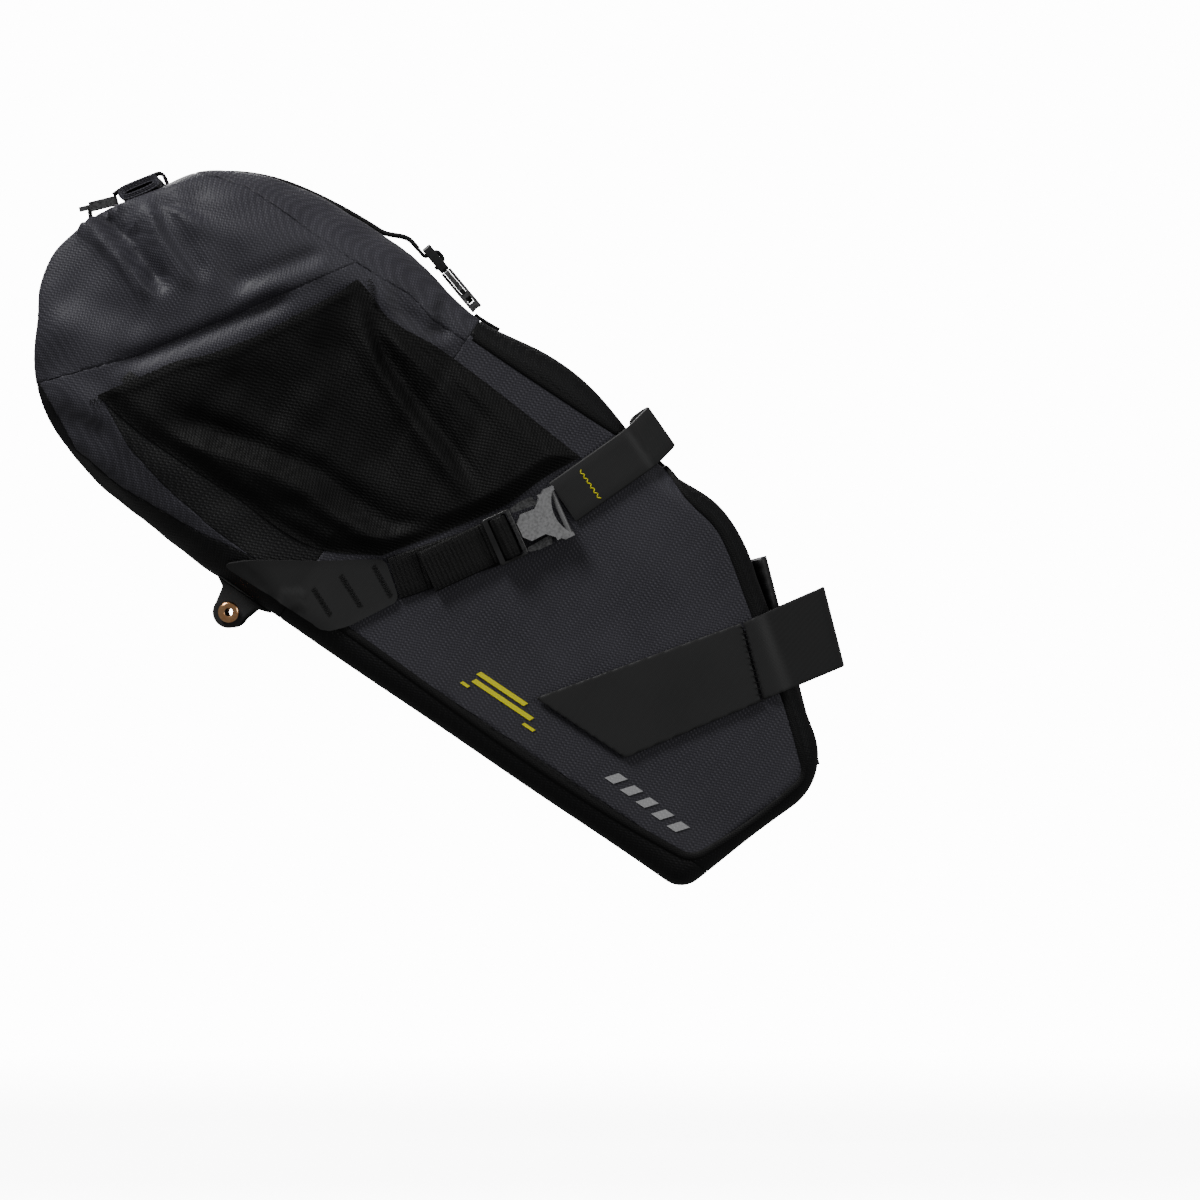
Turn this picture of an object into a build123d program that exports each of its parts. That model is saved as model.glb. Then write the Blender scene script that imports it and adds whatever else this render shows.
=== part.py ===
"""Roll-top saddle bag: a stiffened boot on the seatpost, a soft sleeve behind it, and their straps.

Row frame, millimetres: +X forward along the bicycle, +Y to its left, +Z up. The origin is on the
seatpost's axis at the middle of the seatpost strap. The bag is drawn in its own side plane: u runs
back and up along the bag, v across it.
"""

import os
from math import asin, atan2, cos, hypot, radians, sin

from build123d import *

# driving dimensions
BAG_TILT = 34.0  # slope of the bag's underside
POST_TILT = 14.41  # how far the seatpost leans back
POST_R = 13.6
RAIL_R = 3.5
WALL = 2.0  # laminate panel
LAYER = 1.2  # sewn-on fabric layer
WEB = 1.5  # webbing thickness
STRAP = 1.6  # smooth coated strap
GAP = 0.3  # air between pieces that move apart

# boot: flat sides that open towards the back
NOSE_U = -60.0
SEAM_U = 205.0  # boot meets sleeve
FLARE = 0.118  # half-width gained per millimetre of u
NOSE_HALF = 31.0  # half-width at u = -40
EDGE_R = 11.0
BOOT_LOW = -127.0
BOOT_HIGH = 46.0

# seams in the side view
TOP_SEAM_V = 30.0
BASE_SEAM_V = -113.0
UNDER_SEAM_V = -108.0
GUSSET_U = 92.0

# seatpost strap and pad
PAD_T = 4.4
PAD_LOW = -57.0
PAD_HIGH = 42.0
PAD_HALF_ANGLE = 58.0
SADDLE_R = POST_R + PAD_T + GAP  # hollow in the nose
FLAP_T = 1.6
FLAP_LIFT = 1.1

# straps
RAIL_STRAP_W = 22.0
SIDE_WEB_W = 20.0
TOP_STRAP_W = 20.0
RAIL_Y = 27.0

# rolled mouth
ROLL_L = 21.0
ROLL_T = 7.0
ROLL_HALF = 72.0
MOUTH_L = 12.0
MOUTH_HALF = 60.0

os.makedirs("parts", exist_ok=True)

TILT = radians(BAG_TILT)
U_DIR = Vector(-cos(TILT), 0, sin(TILT))
V_DIR = Vector(sin(TILT), 0, cos(TILT))
bag = Plane(origin=(0, 0, 0), x_dir=U_DIR, z_dir=(0, 1, 0))

LEAN = radians(POST_TILT)
POST_DIR = Vector(-sin(LEAN), 0, cos(LEAN))
BACK_DIR = Vector(-cos(LEAN), 0, -sin(LEAN))
post = Plane(origin=(0, 0, 0), x_dir=BACK_DIR, z_dir=POST_DIR)


def half_width(u):
    """Half the boot's width at a place along the bag."""
    return NOSE_HALF + FLARE * (u + 40)


def at(u, v, y=0.0):
    """A point of the bag's side plane in the row frame."""
    return bag.from_local_coords((u, v, y))


def station(u):
    """The plane across the bag at u: local x is Y, local y is v."""
    return Plane(origin=at(u, 0), x_dir=(0, 1, 0), z_dir=-U_DIR)


def export(part, name):
    part.label = name
    export_step(part, f"parts/{name}.step")


def both_sides(part, name):
    """Write a right-hand piece and its mirror image on the left."""
    export(part, f"{name}_right")
    export(mirror(part, about=Plane.XZ), f"{name}_left")


# flat right side of the boot: local x runs forward, local y is v, z points outwards
FACE_TURN = asin(FLARE / hypot(1, FLARE))
face = Plane(
    origin=at(0, 0, -half_width(0)),
    x_dir=-(U_DIR * cos(FACE_TURN)) + Vector(0, 1, 0) * sin(FACE_TURN),
    z_dir=Vector(0, -1, 0) * cos(FACE_TURN) - U_DIR * sin(FACE_TURN),
)


def on_face(u, v):
    """A side-view point in the local coordinates of the boot's right side."""
    return (-u / cos(FACE_TURN), v)


def strap_plane(start, end, lift=0.0):
    """A plane on the boot's right side with x from start to end, both in (u, v)."""
    x0, y0 = on_face(*start)
    x1, y1 = on_face(*end)
    along = (face.x_dir * (x1 - x0) + face.y_dir * (y1 - y0)).normalized()
    return Plane(origin=face.from_local_coords((x0, y0, lift)), x_dir=along, z_dir=face.z_dir)


# ---- the bag's form ------------------------------------------------------------------------------

# the nose's lower and upper corners
HEEL = (-17.75, BOOT_LOW)
HEEL_R = 12.0
TOE = (-45, -45.5)
TOE_R = 30.0
# the sleeve's outline over the top and round the back, from the gusset to the underside
CROWN = [
    (35, 12),
    (55, 25),
    (70, 29.5),
    (86, 29.3),
    (102, 29.6),
    (120, 34),
    (145, 41),
    (175, 42),
    (206, 38),
    (245, 44.7),
    (272, 45.6),
    (301, 42.8),
    (320, 38.3),
    (337, 30.3),
    (350, 19.5),
    (357.5, 8.5),
    (369, -8.5),
    (377, -25),
    (381.5, -40),
    (381, -55),
    (375, -70),
    (366.7, -86.4),
    (355.6, -101),
    (338.5, -111.8),
    (316, -119),
    (289, -123),
    (255, -125.5),
]
# u, lowest v, highest v, half-width and corner radius of each section of the sleeve
SLEEVE = [
    (SEAM_U, -126.6, 38.2, half_width(SEAM_U), EDGE_R),
    (230, -126.2, 43, 66, 20),
    (262, -125.4, 46.5, 73, 30),
    (295, -123, 46, 78.5, 38),
    (325, -119, 42, 81, 42),
    (350, -114, 32, 80, 44),
    (384, -104, 8, 74, 36),
]


def grown(points, grow):
    """A closed outline moved outwards, each point along the mean of its two sides' normals."""
    moved = []
    for before, here, after in zip(points[-1:] + points[:-1], points, points[1:] + points[:1]):
        normals = []
        for start, end in ((before, here), (here, after)):
            length = hypot(end[0] - start[0], end[1] - start[1])
            normals.append(((start[1] - end[1]) / length, (end[0] - start[0]) / length))
        (a, b), (c, d) = normals
        reach = grow / (1 + a * c + b * d)
        moved.append((here[0] + reach * (a + c), here[1] + reach * (b + d)))
    return moved


def side_form(grow):
    """The bag's side view, grown all round, as a thick slab."""
    heel, toe, *crown = grown([HEEL, TOE, *CROWN], grow)
    with BuildPart() as slab:
        with BuildSketch(bag):
            with BuildLine():
                Polyline(crown[-1], heel, toe, crown[0])
                Spline(crown)
            make_face()
            fillet(vertices().sort_by_distance(heel)[0], HEEL_R + grow)
            fillet(vertices().sort_by_distance(toe)[0], TOE_R + grow)
        extrude(amount=110, both=True)
    return slab.part


def bag_form(grow):
    """The bag's outer form, grown by a distance: boot with rounded edges, then the sleeve."""
    slab = side_form(grow)
    with BuildPart() as boot:
        for u in (NOSE_U, SEAM_U):
            with BuildSketch(station(u)):
                with Locations((0, (BOOT_LOW + BOOT_HIGH) / 2)):
                    Rectangle(2 * (half_width(u) + grow), BOOT_HIGH - BOOT_LOW + 20)
        loft(ruled=True)
        add(slab, mode=Mode.INTERSECT)
        sides = boot.faces().sort_by(Axis.Y)
        rims = sides[0].edges() + sides[-1].edges()
        seam = boot.faces().sort_by(Axis(at(0, 0), U_DIR))[-1].edges()
        fillet([e for e in rims if e not in seam], EDGE_R + grow)
    with BuildPart() as sleeve:
        for u, low, high, half, radius in SLEEVE:
            with BuildSketch(station(u)):
                with Locations((0, (low + high) / 2)):
                    RectangleRounded(2 * (half + grow), high - low + 2 * grow, radius + grow)
        loft()
        add(slab, mode=Mode.INTERSECT)
    with BuildPart() as form:
        add(boot.part)
        add(sleeve.part)
    return form.part


def region(points, near=-1, far=1, radius=0):
    """A side-view polygon as a block; near and far give its span in Y, in hundreds of millimetres."""
    with BuildPart() as block:
        with BuildSketch(bag.offset(near * 100)):
            with BuildLine():
                Polyline(*points, close=True)
            make_face()
            if radius:
                fillet(vertices(), radius)
        extrude(amount=(far - near) * 100)
    return block.part


def post_rod(radius):
    """A rod on the seatpost's axis."""
    with BuildPart() as rod:
        with BuildSketch(post):
            Circle(radius)
        extrude(amount=150, both=True)
    return rod.part


def cut_out(solid, *blocks, minus=()):
    """The part of a solid that lies inside every block and outside every solid of minus."""
    with BuildPart() as piece:
        add(solid)
        for block in blocks:
            add(block, mode=Mode.INTERSECT)
        for block in minus:
            add(block, mode=Mode.SUBTRACT)
    return piece.part


def layer(outline, low, high):
    """A sewn layer on the right side, between two distances above the bag's surface."""
    return cut_out(forms[high], region(outline, -1, 0), minus=(forms[low],))


# ---- panels of the shell -------------------------------------------------------------------------

outer = cut_out(bag_form(0), minus=(post_rod(SADDLE_R),))
inner = cut_out(bag_form(-WALL), minus=(post_rod(SADDLE_R + WALL),))
lining = cut_out(bag_form(-WALL - 1.2), minus=(post_rod(SADDLE_R + WALL + 1.2),))
forms = {grow: bag_form(grow) for grow in (0.2, 0.9, 1.4)}

SIDE_PANEL = [
    (250, BASE_SEAM_V),
    (-14, BASE_SEAM_V),
    (-36.5, -51),
    (47.6, 12.9),
    (62, 21.5),
    (81, 24),
    (98, TOP_SEAM_V),
    (250, TOP_SEAM_V),
]


def panel(*blocks, minus=()):
    """The part of the bag's wall that lies inside the blocks."""
    return cut_out(outer, *blocks, minus=(inner, *minus))


BOOT = [(-80, -160), (SEAM_U, -160), (SEAM_U, 80), (-80, 80)]
GUSSET = [(-80, BASE_SEAM_V), (GUSSET_U, BASE_SEAM_V), (GUSSET_U, 80), (-80, 80)]
BOOT_TOP = [(GUSSET_U, BASE_SEAM_V), (SEAM_U, BASE_SEAM_V), (SEAM_U, 80), (GUSSET_U, 80)]
BASE = [(-80, -160), (SEAM_U, -160), (SEAM_U, BASE_SEAM_V), (-80, BASE_SEAM_V)]
CROWN_PANEL = [(SEAM_U, TOP_SEAM_V), (420, TOP_SEAM_V), (420, 80), (SEAM_U, 80)]
COLLAR_TOP = (264, TOP_SEAM_V)
COLLAR_FOOT = (398.2, -160)
collar_knee = (COLLAR_TOP[0] + (TOP_SEAM_V - UNDER_SEAM_V) * (134.2 / 190), UNDER_SEAM_V)
COLLAR = [COLLAR_TOP, COLLAR_FOOT, (430, -160), (430, TOP_SEAM_V)]
SLEEVE_SIDE = [(SEAM_U, UNDER_SEAM_V), collar_knee, COLLAR_TOP, (SEAM_U, TOP_SEAM_V)]
UNDERSIDE = [(SEAM_U, -160), COLLAR_FOOT, collar_knee, (SEAM_U, UNDER_SEAM_V)]

right_opening = region(SIDE_PANEL, -1, -0.2, 7)
left_opening = region(SIDE_PANEL, 0.2, 1, 7)
side_opening = (left_opening, right_opening)
export(panel(region(BASE), minus=side_opening), "base_panel")
export(panel(region(GUSSET), minus=side_opening), "nose_panel")
export(panel(region(BOOT_TOP), minus=side_opening), "boot_top_panel")
export(panel(region(CROWN_PANEL)), "sleeve_top_panel")
export(panel(region(UNDERSIDE)), "sleeve_underside")
both_sides(panel(region(BOOT), right_opening), "boot_side")
both_sides(panel(region(SLEEVE_SIDE, -1, 0)), "sleeve_side")

# the roll lies on the collar: local x runs back along the surface, y is Y, z stands off it
ROLL_START = (358.06, 7.67)
ROLL_LIFT = 0.8
roll_turn = atan2(-17, 11.5)
roll_dir = U_DIR * cos(roll_turn) + V_DIR * sin(roll_turn)
roll_plane = Plane(origin=at(*ROLL_START), x_dir=roll_dir, z_dir=Vector(0, 1, 0).cross(roll_dir))
roll_side = Plane(origin=roll_plane.origin, x_dir=roll_dir, z_dir=(0, 1, 0))

with BuildPart() as mouth:
    with BuildSketch(roll_plane.offset(-12)):
        with Locations((ROLL_L / 2, 0)):
            RectangleRounded(MOUTH_L, 2 * MOUTH_HALF, MOUTH_L / 2 - 0.1)
    extrude(amount=20)
export(panel(region(COLLAR), minus=(mouth.part,)), "roll_collar")

# thin plastic sheets behind the boot's flat sides and on its floor
STIFFENER = [(196, -100), (0, -100), (-18, -48), (35, -6), (80, 14), (196, 18)]
both_sides(cut_out(inner, region(STIFFENER, -1, 0, 6), minus=(lining,)), "side_stiffener")
with BuildPart() as floor_area:
    with BuildSketch(Plane(origin=at(0, -160), x_dir=U_DIR, z_dir=V_DIR)):
        with BuildLine():
            Polyline((10, -20), (190, -41), (190, 41), (10, 20), close=True)
        make_face()
        fillet(vertices(), 6)
    extrude(amount=50)
export(cut_out(inner, floor_area.part, minus=(lining,)), "base_stiffener")

# ---- layers sewn to the sides --------------------------------------------------------------------

PATCH = [(240, -119), (232, -112), (203, -93), (180, -76.5), (164, -88.5), (177, -112), (184, -119)]
WING = [
    (329.6, -88),
    (291, -35),
    (261, 22),
    (241, 16),
    (131.5, 12.5),
    (139.5, -4),
    (148, -25),
    (155.5, -37.5),
    (182, -75.3),
    (204.5, -91),
]
both_sides(layer(PATCH, 0.2, 1.4), "strap_patch")
both_sides(layer(WING, 0.2, 1.4), "wing")


def seam_band(half):
    """The side panel's outline, grown by half the binding's width."""
    with BuildPart() as block:
        with BuildSketch(bag.offset(-100)):
            with BuildLine():
                Polyline(*SIDE_PANEL, close=True)
            make_face()
            fillet(vertices(), 7)
            offset(amount=half)
        extrude(amount=100)
    return block.part


binding_area = cut_out(seam_band(1.6), region(BOOT, -1, 0), minus=(seam_band(-1.6), region(PATCH, -1, 0)))
both_sides(cut_out(forms[0.9], binding_area, minus=(forms[0.2],)), "edge_binding")

# loop of laminate under the bag with a lined eyelet in it
EYELET = (225.7, -136.7)
EYELET_Y = -50.0
TAB_NECK = [(246, -122), (234.7, -128.5), (232.8, -138), (219, -138), (216.2, -128.6), (205, -125), (205, -121)]
TAB_T = 2.2
EYE_R = 1.9
with BuildPart() as eyelet_tab:
    with BuildSketch(bag.offset(EYELET_Y)):
        with Locations(EYELET):
            Circle(7.4)
        Polygon(*TAB_NECK, align=None)
        with Locations(EYELET):
            Circle(2.6, mode=Mode.SUBTRACT)
    extrude(amount=TAB_T)
    add(forms[0.2], mode=Mode.SUBTRACT)
both_sides(eyelet_tab.part, "eyelet_tab")

EYELET_RING = [
    (EYE_R, -0.5),
    (4.8, -0.5),
    (4.8, 0),
    (2.6, 0),
    (2.6, TAB_T),
    (4.8, TAB_T),
    (4.8, 2.7),
    (EYE_R, 2.7),
]
eyelet_axis = Plane(origin=at(*EYELET, EYELET_Y), x_dir=U_DIR, z_dir=V_DIR * -1)
with BuildPart() as eyelet:
    with BuildSketch(eyelet_axis):
        with BuildLine():
            Polyline(*EYELET_RING, close=True)
        make_face()
    revolve(axis=Axis(eyelet_axis.origin, (0, 1, 0)))
both_sides(eyelet.part, "eyelet")

# ---- side-release buckle -------------------------------------------------------------------------

BUCKLE_T = 5.2
BUCKLE_W = 25.0
PLATE_T = 1.3
ARM_T = 2.3
ARM_PIVOT = (-4.6, 9.8)
# half of a plate's edge, from its rear corner to the middle of its front
PLATE_CORNER = (16.8, 12)
PLATE_WAIST = (11.7, 0)
PLATE_EDGE = [PLATE_CORNER, (12.0, 12.4), (8.0, 9.4), (4.5, 6.3), (-2.6, 6.6), (-5.6, 3.4), (-5.6, 0)]
ARM_EDGE = [
    (-4.6, 8.6),
    (6, 7.6),
    (12.8, 7.3),
    (12.8, 8.4),
    (10.5, 10.9),
    (10.5, 8.9),
    (6.4, 8.9),
    (5.6, 11.8),
    (-1, 11.8),
    (-4.6, 11),
]


def buckle_female(plane):
    """Two hourglass plates on a core, with posts that the arms hook behind and a bar for the webbing."""
    with BuildPart() as female:
        for low in (-BUCKLE_T / 2, BUCKLE_T / 2 - PLATE_T):
            with BuildSketch(plane.offset(low)):
                with BuildLine():
                    ThreePointArc((PLATE_CORNER[0], -PLATE_CORNER[1]), PLATE_WAIST, PLATE_CORNER)
                    Polyline(PLATE_EDGE)
                    mirror(Polyline(PLATE_EDGE), about=Plane.XZ)
                make_face()
            extrude(amount=PLATE_T)
        with BuildSketch(plane.offset(-BUCKLE_T / 2)):
            with Locations((9.4, 0)):
                Rectangle(4, 8)
            with Locations((9.1, 10.2), (9.1, -10.2)):
                Rectangle(1.8, 1.8)
            with Locations((14.9, 11.4), (14.9, -11.4)):
                Rectangle(3.2, 1.8)
        extrude(amount=BUCKLE_T)
        with BuildSketch(Plane(origin=plane.origin, x_dir=plane.x_dir, z_dir=plane.y_dir).offset(-11.4)):
            with Locations((15.0, 0)):
                Circle(1.2)
        extrude(amount=22.8)
    return female.part


def buckle_male(plane):
    """Ladder-lock frame for the webbing with a guide tongue."""
    with BuildPart() as male:
        with BuildSketch(plane.offset(-2.2)):
            with Locations((-13, 0)):
                RectangleRounded(14, 23, 1.4)
            with Locations((-15.7, 0), (-9.9, 0)):
                Rectangle(3.5, 20.6, mode=Mode.SUBTRACT)
        extrude(amount=4.4)
        with BuildSketch(plane.offset(-0.9)):
            Rectangle(13, 7)
        extrude(amount=1.8)
        across = male.edges().filter_by(Axis(plane.origin, plane.y_dir))
        fillet(across.group_by(Axis(plane.origin, plane.x_dir))[0], 0.6)
    return male.part


def buckle_arm(plane, side):
    """One squeeze arm: a round root, a thumb pad and a hook at the tip."""
    with BuildPart() as arm:
        with BuildSketch(plane.offset(-ARM_T / 2)):
            with BuildLine():
                Polyline(*[(x, side * y) for x, y in ARM_EDGE], close=True)
            make_face()
            with Locations((ARM_PIVOT[0], side * ARM_PIVOT[1])):
                Circle(1.2)
        extrude(amount=ARM_T)
    return arm.part


def webbing_loop(plane, tail, width):
    """Webbing threaded over the ladder lock's middle bar, with its tail running back under the frame."""
    with BuildPart() as loop:
        with BuildSketch(Plane(origin=plane.origin, x_dir=plane.x_dir, z_dir=-plane.y_dir)):
            with BuildLine():
                over_bar = [(-16.6, -3.3), (-15, 3.1), (-10.6, 3.1), (-9.6, -3.3)]
                FilletPolyline((-tail, -3.3), *over_bar, radius=1.0)
            trace(line_width=WEB)
        extrude(amount=width / 2, both=True)
    return loop.part


def strip(plane, start, end, width, thickness):
    """A flat run of webbing on a plane."""
    with BuildPart() as run:
        with BuildSketch(plane):
            with Locations(((start + end) / 2, 0)):
                Rectangle(end - start, width)
        extrude(amount=thickness)
    return run.part


# side compression strap: patch, webbing, buckle, then the smooth strap over the saddle rail
WEB_START = (172.0, -82.2)
WEB_TOWARDS = (143.5, -44.3)
BUCKLE_AT = (134.1, -26.6)
BUCKLE_TOWARDS = (128.9, -18.1)
BUCKLE_LIFT = 5.9
STRAP_START = (128.3, -12.2)
RAIL_AT = (108.8, 39.3)

web_plane = strap_plane(WEB_START, WEB_TOWARDS, 0.2)
both_sides(strip(web_plane, 0.6, 58, SIDE_WEB_W, WEB), "side_webbing")

side_buckle = strap_plane(BUCKLE_AT, BUCKLE_TOWARDS, BUCKLE_LIFT)
both_sides(buckle_female(side_buckle), "side_buckle_female")
both_sides(buckle_male(side_buckle), "side_buckle_male")
both_sides(buckle_arm(side_buckle, 1), "side_buckle_upper_arm")
both_sides(buckle_arm(side_buckle, -1), "side_buckle_lower_arm")
both_sides(webbing_loop(side_buckle, 52, SIDE_WEB_W), "side_webbing_tail")

rail_run = strap_plane(STRAP_START, RAIL_AT)
rail = rail_run.to_local_coords(at(*RAIL_AT, -RAIL_Y))
LOOP_R = RAIL_R + STRAP / 2
BEND = (46.0, 1.7)
reach = hypot(rail.X - BEND[0], rail.Z - BEND[1])
line_turn = atan2(rail.Z - BEND[1], rail.X - BEND[0]) + asin(LOOP_R / reach)
run_length = (reach**2 - LOOP_R**2) ** 0.5
touch = (BEND[0] + run_length * cos(line_turn), BEND[1] + run_length * sin(line_turn))
LOOP_END = radians(-165)


def on_loop(turn):
    """A point of the strap's middle line where it goes round the rail."""
    return (rail.X + LOOP_R * cos(turn), rail.Z + LOOP_R * sin(turn))


with BuildPart() as rail_strap:
    with BuildSketch(Plane(origin=rail_run.origin, x_dir=rail_run.x_dir, z_dir=-rail_run.y_dir)):
        with BuildLine():
            Polyline((2.6, BEND[1]), BEND, touch)
            ThreePointArc(touch, on_loop((line_turn + radians(90) + LOOP_END) / 2), on_loop(LOOP_END))
            tail_start = on_loop(LOOP_END)
            Line(tail_start, (tail_start[0] + 6 * sin(LOOP_END), tail_start[1] - 6 * cos(LOOP_END)))
        trace(line_width=STRAP)
    extrude(amount=RAIL_STRAP_W / 2, both=True)
both_sides(rail_strap.part, "rail_strap")

# ---- centre strap over the top -------------------------------------------------------------------

TOP_BUCKLE_AT = (226, 46.9)
TOP_BUCKLE_DIR = (-0.96, -0.28)
top_x = U_DIR * TOP_BUCKLE_DIR[0] + V_DIR * TOP_BUCKLE_DIR[1]
top_buckle = Plane(origin=at(*TOP_BUCKLE_AT), x_dir=top_x, z_dir=Vector(0, 1, 0).cross(top_x) * -1)
export(buckle_female(top_buckle), "top_buckle_female")
export(buckle_male(top_buckle), "top_buckle_male")
export(buckle_arm(top_buckle, 1), "top_buckle_arm_a")
export(buckle_arm(top_buckle, -1), "top_buckle_arm_b")
export(webbing_loop(top_buckle, 27, TOP_STRAP_W), "top_webbing_loop")

strap_top = side_form(1.9)
strap_under = side_form(0.4)
TOP_RUN = [(264, 20), (357.0, 6.0), (361, 12), (345, 60), (264, 60)]
export(cut_out(strap_top, region(TOP_RUN, -0.1, 0.1), minus=(strap_under,)), "top_strap")
ANCHOR_RUN = [(198, 20), (208.5, 20), (208.5, 60), (198, 60)]
export(cut_out(strap_top, region(ANCHOR_RUN, -0.1, 0.1), minus=(strap_under,)), "top_anchor_webbing")
REAR_RUN = [(360, -26), (420, -26), (420, -42), (360, -42)]
export(cut_out(strap_top, region(REAR_RUN, -0.09, 0.09), minus=(strap_under,)), "rear_anchor_webbing")

# rolled mouth with a stiff hem inside, and the strap's end that holds it down
HEM = (15.0, 1.2)
roll_mid = ROLL_LIFT + ROLL_T / 2
with BuildPart() as rolled_mouth:
    with BuildSketch(roll_side):
        with Locations((ROLL_L / 2, roll_mid)):
            SlotOverall(ROLL_L, ROLL_T)
            Rectangle(*HEM, mode=Mode.SUBTRACT)
    extrude(amount=ROLL_HALF, both=True)
export(rolled_mouth.part, "rolled_mouth")
with BuildPart() as hem:
    with BuildSketch(roll_side):
        with Locations((ROLL_L / 2, roll_mid)):
            Rectangle(*HEM)
    extrude(amount=ROLL_HALF - 4, both=True)
export(hem.part, "hem_stiffener")

over_roll = ROLL_LIFT + ROLL_T + 0.2 + WEB / 2
with BuildPart() as strap_end:
    with BuildSketch(roll_side):
        with BuildLine():
            FilletPolyline((2.5, over_roll), (18, over_roll), (22.5, over_roll - 1.1), radius=3)
        trace(line_width=WEB)
    extrude(amount=TOP_STRAP_W / 2, both=True)
export(strap_end.part, "top_strap_end")

ADJUSTER_AT = (29.6, 5.6)
ADJUSTER_TURN = 8.0
adjuster_level = Plane(roll_side.from_local_coords(ADJUSTER_AT), x_dir=roll_dir, z_dir=roll_plane.z_dir)
adjuster_plane = adjuster_level.rotated((0, ADJUSTER_TURN, 0))
with BuildPart() as adjuster:
    with BuildSketch(adjuster_plane.offset(-2)):
        RectangleRounded(13, 25, 1.5)
        with Locations((-2.9, 0), (2.9, 0)):
            Rectangle(3.2, 20.6, mode=Mode.SUBTRACT)
    extrude(amount=4)
    with BuildSketch(adjuster_plane.offset(-1)):
        with Locations((8.5, 0)):
            RectangleRounded(6, 14, 1)
    extrude(amount=2)
export(adjuster.part, "rear_adjuster")

# ---- seatpost strap, its free end and the pad ----------------------------------------------------

FLAP_SEAM = 26.5  # distance of the stitched seam behind the post's axis
CLEAR = 1.7
STRAP_SIDE = [(28.7, -10.1), (0.4, 35.1), (-29.9, 11.8), (3.9, -38.7)]
FLAP = [(87.9, -90.9), (28.9, -9.7), (1.1, -34.5), (38.2, -90.6)]
BAND_SPAN = 48.0


def strap_hull(rise, post_r, grow):
    """The strap's path round the post and the bag's two front corners, at a height along the post."""
    turn = radians(90 - BAG_TILT - POST_TILT)
    low, high = (post.to_local_coords(at(*corner)) for corner in (TOE, CROWN[0]))
    corner_back = low.X + (high.X - low.X) * (rise - low.Z) / (high.Z - low.Z) + EDGE_R
    corner_side = half_width(rise * cos(turn) + corner_back * sin(turn)) - EDGE_R
    with BuildSketch(post.offset(rise)) as hull:
        Circle(post_r)
        with Locations((corner_back, corner_side), (corner_back, -corner_side)):
            Circle(EDGE_R + grow)
        make_hull()
    return hull.sketch


def strap_body(post_r, grow):
    with BuildPart() as body:
        for rise in (-BAND_SPAN, BAND_SPAN):
            add(strap_hull(rise, post_r, grow))
        loft(ruled=True)
    return body.part


with BuildPart() as behind_seam:
    with BuildSketch(post.offset(-80)):
        with Locations((FLAP_SEAM - 1 + 60, 0)):
            Rectangle(120, 160)
    extrude(amount=160)
band = cut_out(strap_body(POST_R + STRAP, CLEAR + STRAP), region(STRAP_SIDE))
band_hollow = (strap_body(POST_R - 0.3, CLEAR), post_rod(POST_R), behind_seam.part)
export(cut_out(band, minus=band_hollow), "seatpost_strap")

with BuildPart() as strap_flap:
    with BuildSketch(face.offset(FLAP_LIFT)):
        with BuildLine():
            Polyline(*[on_face(u, v) for u, v in FLAP], close=True)
        make_face()
    extrude(amount=FLAP_T)
export(strap_flap.part, "strap_flap")
HOOK_PATCH = [(78, -85), (31, -20), (13, -37), (42, -85)]
with BuildPart() as hook_patch:
    with BuildSketch(face):
        with BuildLine():
            Polyline(*[on_face(u, v) for u, v in HOOK_PATCH], close=True)
        make_face()
        fillet(vertices(), 4)
    extrude(amount=0.8)
export(hook_patch.part, "hook_patch")

with BuildPart() as pad:
    with BuildSketch(post.offset(PAD_LOW)):
        Circle(POST_R + PAD_T)
        Circle(POST_R, mode=Mode.SUBTRACT)
        with BuildLine():
            reach_out = 60 * sin(radians(PAD_HALF_ANGLE))
            along = 60 * cos(radians(PAD_HALF_ANGLE))
            wedge = [(along, reach_out), (60, reach_out), (60, -reach_out), (along, -reach_out)]
            Polyline((0, 0), *wedge, close=True)
        make_face(mode=Mode.INTERSECT)
    extrude(amount=PAD_HIGH - PAD_LOW)
export(pad.part, "seatpost_pad")
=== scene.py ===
"""Looks of a roll-top saddle bag: laminate skin with folds, pocket wings, straps, buckles, rolled mouth.

Lengths are millimetres in the bag's own axes: u runs back and up along the bag, v runs across it and
y runs to the left. Each finished mesh is turned into the frame's axes, in metres, as it becomes an object.
"""

import math

import bmesh
import bpy
import numpy as np
from mathutils import Matrix, Vector
from mathutils.bvhtree import BVHTree


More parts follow.
